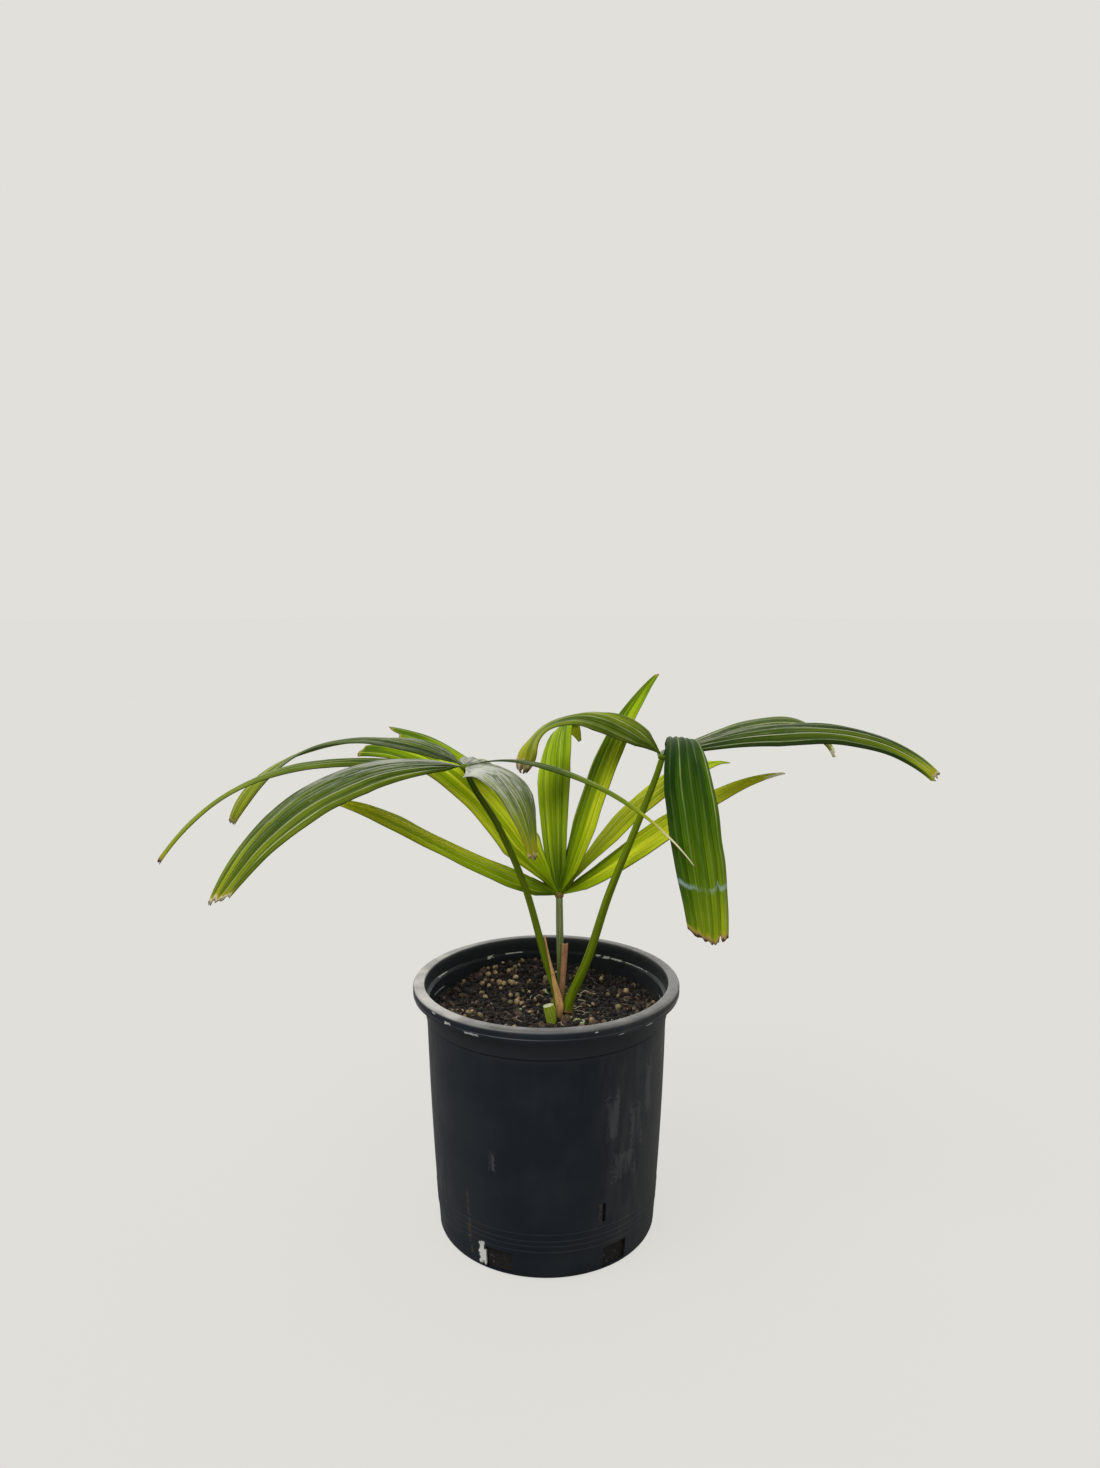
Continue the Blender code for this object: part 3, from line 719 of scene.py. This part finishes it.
def spine(row, hub_point, where):
    """Points, side and face vectors of a leaflet's spine, at the shares of its length in where."""
    share = np.linspace(0, 1, SPINE_STEPS + 1)
    slope = smooth_angle(row.slope, share)
    turn = smooth_angle(row.heading, share)
    along = np.stack([np.cos(slope) * np.cos(turn), np.cos(slope) * np.sin(turn), np.sin(slope)], 1)
    steps = (along[1:] + along[:-1]) / 2 * row.length * MM / SPINE_STEPS
    points = np.array(hub_point) + np.vstack([np.zeros(3), np.cumsum(steps, 0)])
    level = np.stack([-np.sin(turn), np.cos(turn), np.zeros_like(turn)], 1)
    face = np.cross(along, level)
    roll = smooth_angle(row.roll, share)[:, None]
    side = level * np.cos(roll) + face * np.sin(roll)
    return [between(where, share, values) for values in (points, side, np.cross(along, side))]


def blade_width(row, share):
    """The blade's whole width at a share of its length."""
    opening = np.minimum(1, share / row.peak) ** row.rise
    closing = np.clip((share - row.taper) / (1 - row.taper), 0, 1) ** row.close
    width = row.width * MM * opening * (1 - (1 - row.tip) * closing)
    return width * np.clip(share * row.length * MM / ROOT_NARROW, 0.12, 1) ** 0.8


def leaflet(row, hub_point, crown, looks, slot, nodes):
    """One leaflet: a thin pleated blade with its own ribs, waves and worn end."""
    finish = FINISHES[row.name]
    seed = sum(map(ord, row.name))
    random = np.random.default_rng(seed)
    columns = finish.ribs * COLUMNS_PER_RIB + 1
    along = np.linspace(0, 1, BLADE_ROWS)
    offset = np.linspace(-1, 1, columns)
    ridges = (np.arange(finish.ribs) + 0.5 + random.uniform(-0.16, 0.16, finish.ribs)) / finish.ribs * 2 - 1
    fold = np.interp(offset, [-1, *ridges, 1], [-0.5, *range(finish.ribs), finish.ribs - 0.5])
    ridge = 1 - 2 * np.abs(fold - np.round(fold))
    knots = np.linspace(-1, 1, finish.ribs * 4 + 1)
    teeth = finish.torn * np.interp(offset, knots, random.random(len(knots)))
    cuts = np.array(TORN_ENDS.get(row.name, ((-1, 0), (1, 0))))
    end = 1 - (teeth + np.interp(offset, cuts[:, 0], cuts[:, 1])) / row.length
    start = 1.5 / row.length
    where = start + (end[None, :] - start) * along[:, None]
    points, side, face = spine(row, hub_point, where)
    width = blade_width(row, where)
    strip = row.width * MM * 1.03 / (2 * finish.ribs)
    half = width / (2 * finish.ribs)
    shallow, deep = PLEAT_DEPTHS
    depth = np.minimum(deep, np.sqrt(np.maximum(strip ** 2 - half ** 2, shallow ** 2)))
    depth = depth * np.clip(where * row.length * MM / PLEAT_START, 0.15, 1)
    depth = depth * np.clip(width / (6 * MM), 0.1, 1)
    wave = np.array([[noise_at(spot * 6, column * 1.1, seed) for column in offset] for spot in along])
    sway = np.array([noise_at(spot * 9, 5.0, seed) for spot in along])[:, None]
    lift = depth * (ridge[None, :] - 0.5) - crown * width * offset ** 2
    lift = lift + WAVE_HEIGHT * wave * np.clip(width / (20 * MM), 0, 1)
    spread = offset * width / 2 * (1 + 0.035 * sway * offset)
    spots = points + side * spread[..., None] + face * lift[..., None]
    remaining = (1 - along)[:, None] * row.length * np.ones_like(where)
    worn = np.interp(offset, knots, random.uniform(0.4, 1.3, len(knots)))
    sunlit = np.clip((where - TIP_START) / TIP_BLEND, 0, 1)
    values = {
        "along": np.broadcast_to(along[:, None], where.shape),
        "across": np.broadcast_to(fold[None, :], where.shape) + seed % 97 * 10,
        "gold": np.clip(1.2 - remaining / (finish.gold * worn), 0, 1.2),
        "dry": np.clip(1.1 - 0.6 * remaining / (finish.dry * worn), 0, 1.1),
        "scar": np.zeros_like(where),
        # Painted sheen near the hub, fading out along the blade, on the side that edge gives
        "bloom": finish.bloom * np.clip(1.35 - where / finish.reach, 0, 1)
                 * np.clip(0.6 + finish.edge * offset, 0, 1),
        # How light the green is: lighter towards the end, with painted shade at the root, painted light on
        # one side (lean) and on an end that turns over
        "light": finish.light + finish.fresh * where ** finish.late - FOOT_SHADE[slot] * (1 - where) ** 6
                 + finish.lean * offset + TIP_LIGHT.get(row.name, 0) * sunlit,
        "straw": np.full_like(where, finish.straw),
        "rim": np.broadcast_to(np.clip(np.abs(offset) * 12 - 11, 0, 1)[None, :], where.shape),
    }
    if row.name == SMEARED:
        across_band = 1 - np.abs(remaining - SMEAR_REACH - offset) / SMEAR_HEIGHT
        values["scar"] = np.clip(across_band, 0, 1) * (0.35 + 0.65 * np.abs(offset))
    values = {name: np.array(numbers).ravel() for name, numbers in values.items()}
    faces = grid_faces(BLADE_ROWS, columns)
    made = piece(f"{row.name}_blade", spots.reshape(-1, 3), faces, looks, nodes, 75, values)
    thicken(made, BLADE_THICKNESS, two_looks=True)


def webs(rows, hub_point, crown, look):
    """The skin that joins neighbouring leaflets for a short way out of their hub."""
    shapes, along, across = [], [], []
    steps, columns = 14, 9
    across_share = np.linspace(0, 1, columns)
    drawn_in = 1 - 0.45 * np.sin(math.pi * across_share)
    for index, (first, second) in enumerate(zip(rows, rows[1:])):
        edges = []
        for row, way in ((first, -1), (second, 1)):
            where = np.linspace(0.5, WEB_REACH, steps) / row.length
            points, side, face = spine(row, hub_point, where)
            width = blade_width(row, where)[:, None]
            edges.append(points + side * way * width * 0.46 - face * crown * width)
        grid = []
        for step in range(steps):
            for share, drawn in zip(across_share, drawn_in):
                left, right = (between(step * drawn, np.arange(steps), edge) for edge in edges)
                grid.append(left * (1 - share) + right * share)
                along.append(0.02 + 0.1 * step / steps)
                across.append(0.5 + share + 10 * index)
        shapes.append((grid, grid_faces(steps, columns)))
    points, faces = joined(shapes)
    values = {name: np.zeros(len(points)) for name in ("gold", "dry", "scar", "bloom", "straw", "rim")}
    values.update(along=along, across=across, light=np.full(len(points), 0.42))
    thicken(piece("centre_web", points, faces, look, (), 75, values), WEB_THICKNESS)


def petiole(row, material):
    """A tapering stalk, a little flattened and channelled on its upper side, up to its leaf's hub."""
    count = 90
    path = smooth_path(np.array(row.route) * MM, count)
    share = np.linspace(0, 1, count)
    radii = MM * (row.base_radius + (row.top_radius - row.base_radius) * share ** 0.8)
    radii[-1] *= 0.8
    seed = sum(map(ord, row.side))
    sides = 28

    def section(angle, along):
        ripple = 0.05 * noise_at(math.cos(angle) * 1.6, math.sin(angle) * 1.6, along * 7 + seed)
        return 1 + ripple - 0.1 * math.exp(-(math.remainder(angle - 2.2, 2 * math.pi) / 0.45) ** 2)

    points, faces = tube(path, radii, sides, section)
    values = {
        "along": np.repeat(share, sides),
        "across": np.tile(np.abs(np.linspace(-1, 1, sides)), count),
        "dry": np.repeat(np.clip(1.0 - share * 9, 0, 1), sides),
    }
    nodes = [f"{row.side}_petiole"]
    piece(f"{row.side}_stalk", points, faces, material, nodes, 60, values)


def hub(side, centre, material):
    """The small swollen top of a petiole, from which the leaflets fan out."""
    shape = bmesh.new()
    bmesh.ops.create_uvsphere(shape, u_segments=32, v_segments=20, radius=HUB_RADIUS)
    for corner in shape.verts:
        angle = math.atan2(corner.co.y, corner.co.x)
        corner.co *= 1 + 0.1 * math.cos(6 * angle) * (1 - abs(corner.co.z) / HUB_RADIUS)
        corner.co.z *= 0.85
        corner.co += centre
    points = [tuple(corner.co) for corner in shape.verts]
    shape.verts.ensure_lookup_table()
    faces = [[corner.index for corner in face.verts] for face in shape.faces]
    shape.free()
    shares = {"along": 0.9, "across": 0.3, "dry": 0.75 if side == "centre" else 0.1}
    values = {name: np.full(len(points), share) for name, share in shares.items()}
    piece(f"{side}_crown", points, faces, material, [f"{side}_hub"], 60, values)


def stem_base(skin):
    """The short stem: overlapping leaf bases round a core, brown at the foot."""
    shapes = []
    ground = soil_height(STEM_CENTRE.length)
    random = np.random.default_rng(4)
    for index in range(9):
        angle = index * 2.4 + 0.5
        out = Vector((math.cos(angle), math.sin(angle), 0))
        foot = STEM_CENTRE + out * 4.6 * MM + Vector((0, 0, ground - 2 * MM))
        top = STEM_CENTRE + out * (3.0 + random.random()) * MM
        top = top + Vector((0, 0, ground + (2.2 + 2 * random.random()) * MM))
        path = smooth_path([foot, foot.lerp(top, 0.5) + out * 0.9 * MM, top], 14)
        radii = np.linspace(3.2, 1.5, 14) * MM
        radii[-1] *= 0.5
        shapes.append(tube(path, radii, 16))
    points, faces = joined(shapes)
    height = np.array([point[2] for point in points])
    values = {
        "along": (height - ground) / (60 * MM),
        "across": [math.atan2(point[1] - STEM_CENTRE.y, point[0] - STEM_CENTRE.x) for point in points],
        "dry": np.clip(1.2 - (height - ground) / (9 * MM), 0.7, 1),
    }
    piece("stem_foot", points, faces, skin, ["stem_base"], 60, values)


def cut_stub(material, cut_face):
    """The green stump of a cut leaf: a bent, flattened sheath that is widest at its middle."""
    ground = soil_height(STUB_CENTRE.length)
    rows, sides = 24, 32
    knots = [STUB_CENTRE + Vector(step) * MM + Vector((0, 0, ground)) for step in
             ((0.6, 0.2, -2.0), (0.3, 0, 3.0), (-0.4, -0.2, 7.5), (-1.4, -0.4, 11.0))]
    path = smooth_path(knots, rows)
    share = np.linspace(0, 1, rows)
    radii = MM * np.interp(share, [0, 0.35, 0.7, 1], [2.3, 3.0, 3.2, 2.9])
    points, faces = tube(path, radii, sides, lambda angle, along: 1 + 0.16 * math.cos(2 * angle + 0.6))
    values = {"along": np.repeat(share, sides) * 0.4 + 0.5, "across": np.tile(np.linspace(0, 2, sides), rows),
              "dry": np.repeat(np.clip(0.6 - share * 1.6, 0, 1), sides)}
    made = piece("green_stub", points, faces, [material, cut_face], ["cut_stub"], 40, values)
    made.data.polygons[len(made.data.polygons) - 1].material_index = 1


def sheath(name, widths, torn_depth, material):
    """A dry strip that curls round its petiole. widths are in mm at even steps up from its foot."""
    rows, columns = 48, 13
    path = smooth_path(np.array(SHEATHS[name]) * MM, rows)
    share = np.linspace(0, 1, rows)
    seed = sum(map(ord, name))
    points = []
    for spot, along in zip(path, share):
        for column in np.linspace(-1, 1, columns):
            wide = np.interp(along, np.linspace(0, 1, len(widths)), widths) * MM / 2
            curl = 0.9 * MM * column * column + 0.25 * MM * noise_at(column * 2, along * 8, seed)
            torn = torn_depth * MM * along ** 8 * noise_at(column * 3, 0, seed)
            points.append((spot[0] + column * wide, spot[1] + curl, spot[2] + torn))
    values = {"along": np.repeat(share, columns) * 3, "across": np.tile(np.linspace(0, 1, columns), rows)}
    faces = grid_faces(rows, columns)
    made = piece(f"{name}_strip", points, faces, material, [name], 60, values)
    thicken(made, SHEATH_THICKNESS)


def pebble(subdivisions):
    """Points and faces of a ball of radius 1."""
    shape = bmesh.new()
    bmesh.ops.create_icosphere(shape, subdivisions=subdivisions, radius=1.0)
    shape.verts.ensure_lookup_table()
    points = np.array([corner.co for corner in shape.verts])
    faces = np.array([[corner.index for corner in face.verts] for face in shape.faces])
    shape.free()
    return points, faces


def turned(grain, random):
    """The points of a grain, turned at random."""
    spin = Quaternion(random.normal(size=4)).normalized().to_matrix()
    return grain @ np.array(spin).T


def bed_height(x, y):
    """The soil's surface: dished, lumpy, and heaped a little at the back."""
    lumps = 1.1 * MM * noise_at(x * 70, y * 70, 1.0) + 0.6 * MM * noise_at(x * 190, y * 190, 4.0)
    heap = 6.5 * MM * math.exp(-(((x + 16 * MM) / (34 * MM)) ** 2 + ((y - 60 * MM) / (26 * MM)) ** 2))
    return soil_height(math.hypot(x, y)) + lumps + heap - 1.0 * MM


def soil_bed(material):
    """The body of the soil, rough on top and at its side, where the notches show it."""
    rings, levels, steps = 46, 40, 120
    reach = wall_radius(SOIL_EDGE) - POT_WALL - 0.4 * MM
    points = []
    for ring in range(1, rings + 1):
        for step in range(steps):
            angle = 2 * math.pi * (step + 0.5 * (ring % 2)) / steps
            x, y = around(reach * ring / rings, angle)[:2]
            points.append((x, y, bed_height(x, y)))
    for height in np.linspace(SOIL_EDGE - 6 * MM, POT_FLOOR + 0.4 * MM, levels):
        for step in range(steps):
            angle = 2 * math.pi * step / steps
            rough = 1.3 * MM * abs(noise_at(angle * 14, height * 260, 2.0))
            radius = wall_radius(height) - POT_WALL - 0.4 * MM - rough
            points.append(around(radius, angle, height))
    piece("soil_bed", points, closed_faces(rings + levels, steps), material, ["soil"], 50)


def grains(name, shapes, faces, kinds, materials):
    """Grains with the same faces, joined to one piece, each in the material that its kind points to."""
    all_faces = [faces + index * len(points) for index, points in enumerate(shapes)]
    made = piece(name, np.vstack(shapes), np.vstack(all_faces), materials, (), 30)
    made.data.polygons.foreach_set("material_index", [kind for kind in kinds for _ in faces])


def scatter(name, count, size, squash, materials, seed, step=1, sink=0.25, places=(), jitter=0.25):
    """Many small grains on the soil, at the places given and then anywhere. size is a range of half widths in
    mm, squash scales their heights, and sink is the share of each that is in the soil."""
    random = np.random.default_rng(seed)
    base, faces = pebble(step)
    reach = wall_radius(SOIL_EDGE) - POT_WALL - 1.2 * MM
    shapes, kinds = [], []
    for index in range(count):
        half = (size[0] + (size[1] - size[0]) * random.random() ** 2) * MM
        if index < len(places):
            x, y = places[index]
        else:
            radius = (reach - half) * math.sqrt(random.random())
            angle = random.random() * 2 * math.pi
            x, y = around(radius, angle)[:2]
        scale = np.array([half, half * (0.6 + 0.4 * random.random()), half * squash])
        rough = 1 + jitter * (random.random(len(base)) - 0.5)
        grain = turned(base * rough[:, None] * scale, random)
        shapes.append(grain + (x, y, bed_height(x, y) + half * squash * (1 - 2 * sink)))
        kinds.append(random.integers(len(materials)))
    grains(name, shapes, faces, kinds, materials)


def notch_grains(materials):
    """Crumbs of soil that show in the drain notches."""
    random = np.random.default_rng(21)
    base, faces = pebble(1)
    shapes, kinds = [], []
    for index in range(NOTCHES * 46):
        degrees = NOTCH_FIRST_DEG + 360 / NOTCHES * (index % NOTCHES) + (random.random() - 0.5) * 13
        angle = math.radians(degrees - 90)
        half = (0.6 + 1.3 * random.random() ** 2) * MM
        height = POT_FLOOR + half + random.random() * (NOTCH_HEIGHT - POT_FLOOR - 2 * half)
        radius = wall_radius(height) - POT_WALL - 0.5 * MM - half
        rough = 1 + 0.3 * (random.random(len(base)) - 0.5)
        grain = turned(base * rough[:, None] * half, random)
        shapes.append(grain + around(radius, angle, height))
        kinds.append(random.integers(len(materials)))
    grains("notch_crumbs", shapes, faces, kinds, materials)


def rootlets(name, starts, thickness, material, seed, length):
    """Fine roots that curl over the soil from starts. thickness is a half width, and both sizes are in mm."""
    random = np.random.default_rng(seed)
    shapes = []
    for x, y in starts:
        heading = random.random() * 2 * math.pi
        knots = []
        spot = np.array([x, y]) * MM
        for step in range(7):
            rise = 0.5 * MM + 1.6 * MM * abs(math.sin(step * 1.3 + heading)) * (0 < step < 6)
            knots.append((spot[0], spot[1], bed_height(spot[0], spot[1]) + rise))
            heading += (random.random() - 0.5) * 2.2
            spot = spot + np.array([math.cos(heading), math.sin(heading)]) * length * MM / 6
            limit = wall_radius(SOIL_EDGE) - 4 * MM
            spot = spot * min(1, limit / max(1e-9, float(np.hypot(*spot))))
        path = smooth_path(knots, 40)
        radii = thickness * MM * np.linspace(1, 0.45, 40)
        shapes.append(tube(path, radii, 6))
    points, faces = joined(shapes)
    piece(name, points, faces, material, (), 60)


def bead_places():
    """Where the fertiliser beads lie: in loose clusters, kept within the pot."""
    random = np.random.default_rng(12)
    places = []
    for centre, spread, count in BEAD_CLUSTERS:
        for _ in range(count):
            spot = np.array(centre) + random.normal(size=2) * spread
            spot = spot * min(1, BEAD_REACH / float(np.hypot(*spot)))
            places.append((spot[0] * MM, spot[1] * MM))
    return places


def studio():
    """The paper floor, the sky round it and the key light."""
    bpy.ops.mesh.primitive_circle_add(vertices=96, radius=FLOOR_RADIUS, fill_type="NGON")
    floor = bpy.context.object
    floor.name = "studio_floor"
    look = Graph("floor_paper", Roughness=0.95, Specular_IOR_Level=0.0, Emission_Color=BACKDROP_COLOUR)
    seen = look.wire("ShaderNodeLightPath", (), "Is Camera Ray")
    darker = tuple(part * FLOOR_SEEN for part in FLOOR_COLOUR)
    look.feed(look.shader["Base Color"], look.mix(seen, FLOOR_COLOUR, darker))
    paper = look.noise(look.place()[0], 3.0).step(0.0, 1.0, FLOOR_GLOW, FLOOR_GLOW * 1.01)
    look.feed(look.shader["Emission Strength"], seen * paper)
    floor.data.materials.append(look.material)
    world = bpy.data.worlds.new("studio")
    bpy.context.scene.world = world
    world.use_nodes = True
    sky = Graph.of(world.node_tree)
    back, up = sky.place("Generated")[2:]
    wall = back.step(0.1, 0.75, SKY_BEFORE, SKY_BEHIND)
    glow = wall + up.step(0.35, 0.85) * sky.math("SUBTRACT", SKY_ABOVE, wall)
    lit = sky.wire("ShaderNodeBackground", {"Color": (1.0, 0.985, 0.96), "Strength": glow})
    plain = sky.wire("ShaderNodeBackground", {"Color": BACKDROP_COLOUR})
    seen = sky.wire("ShaderNodeLightPath", (), "Is Camera Ray")
    both = sky.wire("ShaderNodeMixShader", {0: seen, 1: lit, 2: plain})
    sky.feed(sky.tree.nodes["World Output"].inputs["Surface"], both)
    light = bpy.data.lights.new("key", "SUN")
    light.energy = SUN_STRENGTH
    light.angle = math.radians(SUN_ANGLE_DEG)
    key = bpy.data.objects.new("key", light)
    key.rotation_euler = Vector(SUN_FROM).to_track_quat("Z", "Y").to_euler()
    bpy.context.scene.collection.objects.link(key)
    bpy.context.scene.view_settings.view_transform = "Standard"


def camera():
    """The camera that the photo was fitted to."""
    lens = bpy.data.cameras.new("camera")
    lens.lens = CAMERA_LENS
    lens.sensor_width = 36
    lens.clip_start = 0.01
    made = bpy.data.objects.new("camera", lens)
    made.location = CAMERA_PLACE
    made.rotation_euler = (math.radians(90 - CAMERA_PITCH_DEG), 0, 0)
    bpy.context.scene.collection.objects.link(made)
    bpy.context.scene.camera = made


def leaves():
    """The three stalks, their hubs and leaflets, and the webs of the newest leaf."""
    old_greens = ((0.014, 0.034, 0.003), (0.05, 0.086, 0.004), (0.15, 0.205, 0.007), (0.33, 0.385, 0.016))
    deep_greens = ((0.012, 0.036, 0.003), (0.038, 0.092, 0.004), (0.108, 0.18, 0.006), (0.26, 0.33, 0.01))
    new_greens = ((0.07, 0.13, 0.003), (0.2, 0.31, 0.004), (0.34, 0.46, 0.005), (0.64, 0.7, 0.025))
    under_greens = [tuple(part * 1.2 + 0.008 for part in colour) for colour in old_greens]
    lit_greens = [tuple(part * 1.25 for part in colour) for colour in new_greens]
    new_edge = (0.2, 0.26, 0.03)
    old_under = leaf_material("old_leaf_under", under_greens, (0.24, 0.3, 0.07), (0.024, 0.05, 0.004),
                              rough=0.5, rib_strength=0.4, valley_strength=0.5, contrast=0.8)
    old_top = leaf_material("old_leaf_top", old_greens, (0.43, 0.47, 0.26), (0.006, 0.02, 0.002),
                            rough=0.4, rib_strength=0.8, valley_strength=0.6, contrast=1.1)
    deep_top = leaf_material("deep_leaf_top", deep_greens, (0.3, 0.38, 0.13), (0.006, 0.024, 0.002),
                             rough=0.38, rib_strength=0.65, valley_strength=0.5, contrast=0.5, gloss=0.01)
    new_top = leaf_material("new_leaf_top", new_greens, (0.64, 0.72, 0.11), (0.05, 0.095, 0.002),
                            rough=0.44, rib_strength=0.4, valley_strength=0.9, contrast=1.2,
                            edge=new_edge, gloss=0.01)
    new_under = leaf_material("new_leaf_under", lit_greens, (0.68, 0.75, 0.12), (0.08, 0.125, 0.003),
                              rough=0.5, rib_strength=0.4, valley_strength=0.8, contrast=1.0,
                              edge=new_edge, gloss=0.01)
    stalks = {
        "left": stalk_material("left_petiole_skin", (0.085, 0.135, 0.004), (0.19, 0.27, 0.01), 0.65),
        "right": stalk_material("right_petiole_skin", (0.09, 0.145, 0.003), (0.195, 0.28, 0.007)),
        "centre": stalk_material("centre_petiole_skin", (0.14, 0.19, 0.055), (0.4, 0.45, 0.22),
                                 green_foot=0.85),
    }
    for row in PETIOLES:
        petiole(row, stalks[row.side])
        centre = Vector(row.route[-1]) * MM
        hub(row.side, centre, stalks["right"])
        looks, slot = [old_top, old_under], "old_leaf"
        if row.side == "centre":
            looks, slot = [new_top, new_under], "new_leaf"
        for one in LEAVES[row.side]:
            nodes = [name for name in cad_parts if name.startswith(f"{one.name}_leaflet")]
            crown = FLAT_CROWNS.get(one.name, CROWNS[row.side])
            skins = [deep_top, old_under] if one.name in DEEP_GREEN else looks
            leaflet(one, centre, crown, skins, slot, nodes)
    webs(CENTRE_LEAF, centre, CROWNS["centre"], new_top)


def ground():
    """The soil, with its crumbs, bark, beads and roots."""
    black = grain_material("soil_black", (0.003, 0.0028, 0.0026), (0.014, 0.011, 0.009))
    dark = grain_material("soil_dark", (0.01, 0.007, 0.005), (0.04, 0.027, 0.018))
    brown = grain_material("soil_brown", (0.04, 0.022, 0.013), (0.13, 0.08, 0.05), 0.8)
    ochre = grain_material("soil_ochre", (0.08, 0.048, 0.022), (0.25, 0.165, 0.09), 0.8)
    pink = grain_material("soil_pink", (0.12, 0.07, 0.048), (0.3, 0.2, 0.14), 0.8)
    tan = grain_material("bead_tan", (0.3, 0.195, 0.09), (0.56, 0.41, 0.215), 0.65, 260.0)
    olive = grain_material("bead_olive", (0.14, 0.11, 0.045), (0.3, 0.25, 0.12), 0.65, 260.0)
    white = grain_material("soil_white", (0.4, 0.37, 0.31), (0.7, 0.68, 0.61), 0.7)
    root = grain_material("soil_root", (0.45, 0.36, 0.22), (0.72, 0.64, 0.46), 0.7)
    sprout = grain_material("pale_sprout", (0.26, 0.33, 0.12), (0.48, 0.54, 0.28), 0.6)
    soil_bed(black)
    scatter("crumbs", 4200, (0.5, 2.1), 0.75, [black, black, black, dark, dark], seed=1)
    scatter("clods", 170, (1.8, 3.8), 0.6, [black, dark, brown], seed=7, step=2, sink=0.35)
    scatter("bark_bits", 950, (0.6, 2.8), 0.4, [dark, brown, brown, brown, ochre, ochre, pink], seed=2)
    places = bead_places()
    scatter("beads", len(places), (1.3, 2.3), 0.92, [tan, tan, tan, olive], seed=3, step=2, sink=0.02,
            places=places, jitter=0.14)
    scatter("white_specks", 50, (0.3, 0.75), 0.8, [white], seed=5)
    fine_starts = [(24, -2), (20, 6), (17, -6), (-4, 4), (-2, 22), (12, -24), (-14, -6), (-24, -22),
                   (46, -14)]
    rootlets("fine_roots", fine_starts, 0.26, root, seed=6, length=17)
    rootlets("curly_roots", [(19, 30), (23, 22), (26, 14), (22, 26), (28, 6)], 0.42, root, seed=17, length=16)
    sprout_starts = [(14, -8), (17, -15), (21, -22), (-2, 30), (-18, -3)]
    rootlets("sprouts", sprout_starts, 0.9, sprout, seed=31, length=7)
    notch_grains([black, black, dark, ochre])


def main():
    camera()
    studio()
    pot(pot_material())
    ground()
    leaves()
    dry = dry_material("orange_sheath", (0.52, 0.25, 0.07), (0.9, 0.56, 0.23))
    red = dry_material("red_sheath", (0.33, 0.13, 0.06), (0.52, 0.28, 0.14))
    cut_face = grain_material("stub_cut", (0.35, 0.4, 0.16), (0.62, 0.64, 0.38), 0.6)
    stem_base(dry_material("stem_skin", (0.04, 0.026, 0.012), (0.19, 0.12, 0.05)))
    cut_stub(stalk_material("stub_skin", (0.25, 0.37, 0.014), (0.52, 0.62, 0.07)), cut_face)
    sheath("left_dry_sheath", (2.6, 5.0, 3.0, 1.0, 0.4), torn_depth=2.0, material=dry)
    sheath("centre_dry_sheath", (2.4, 3.2, 3.4, 3.3), torn_depth=1.0, material=red)


main()
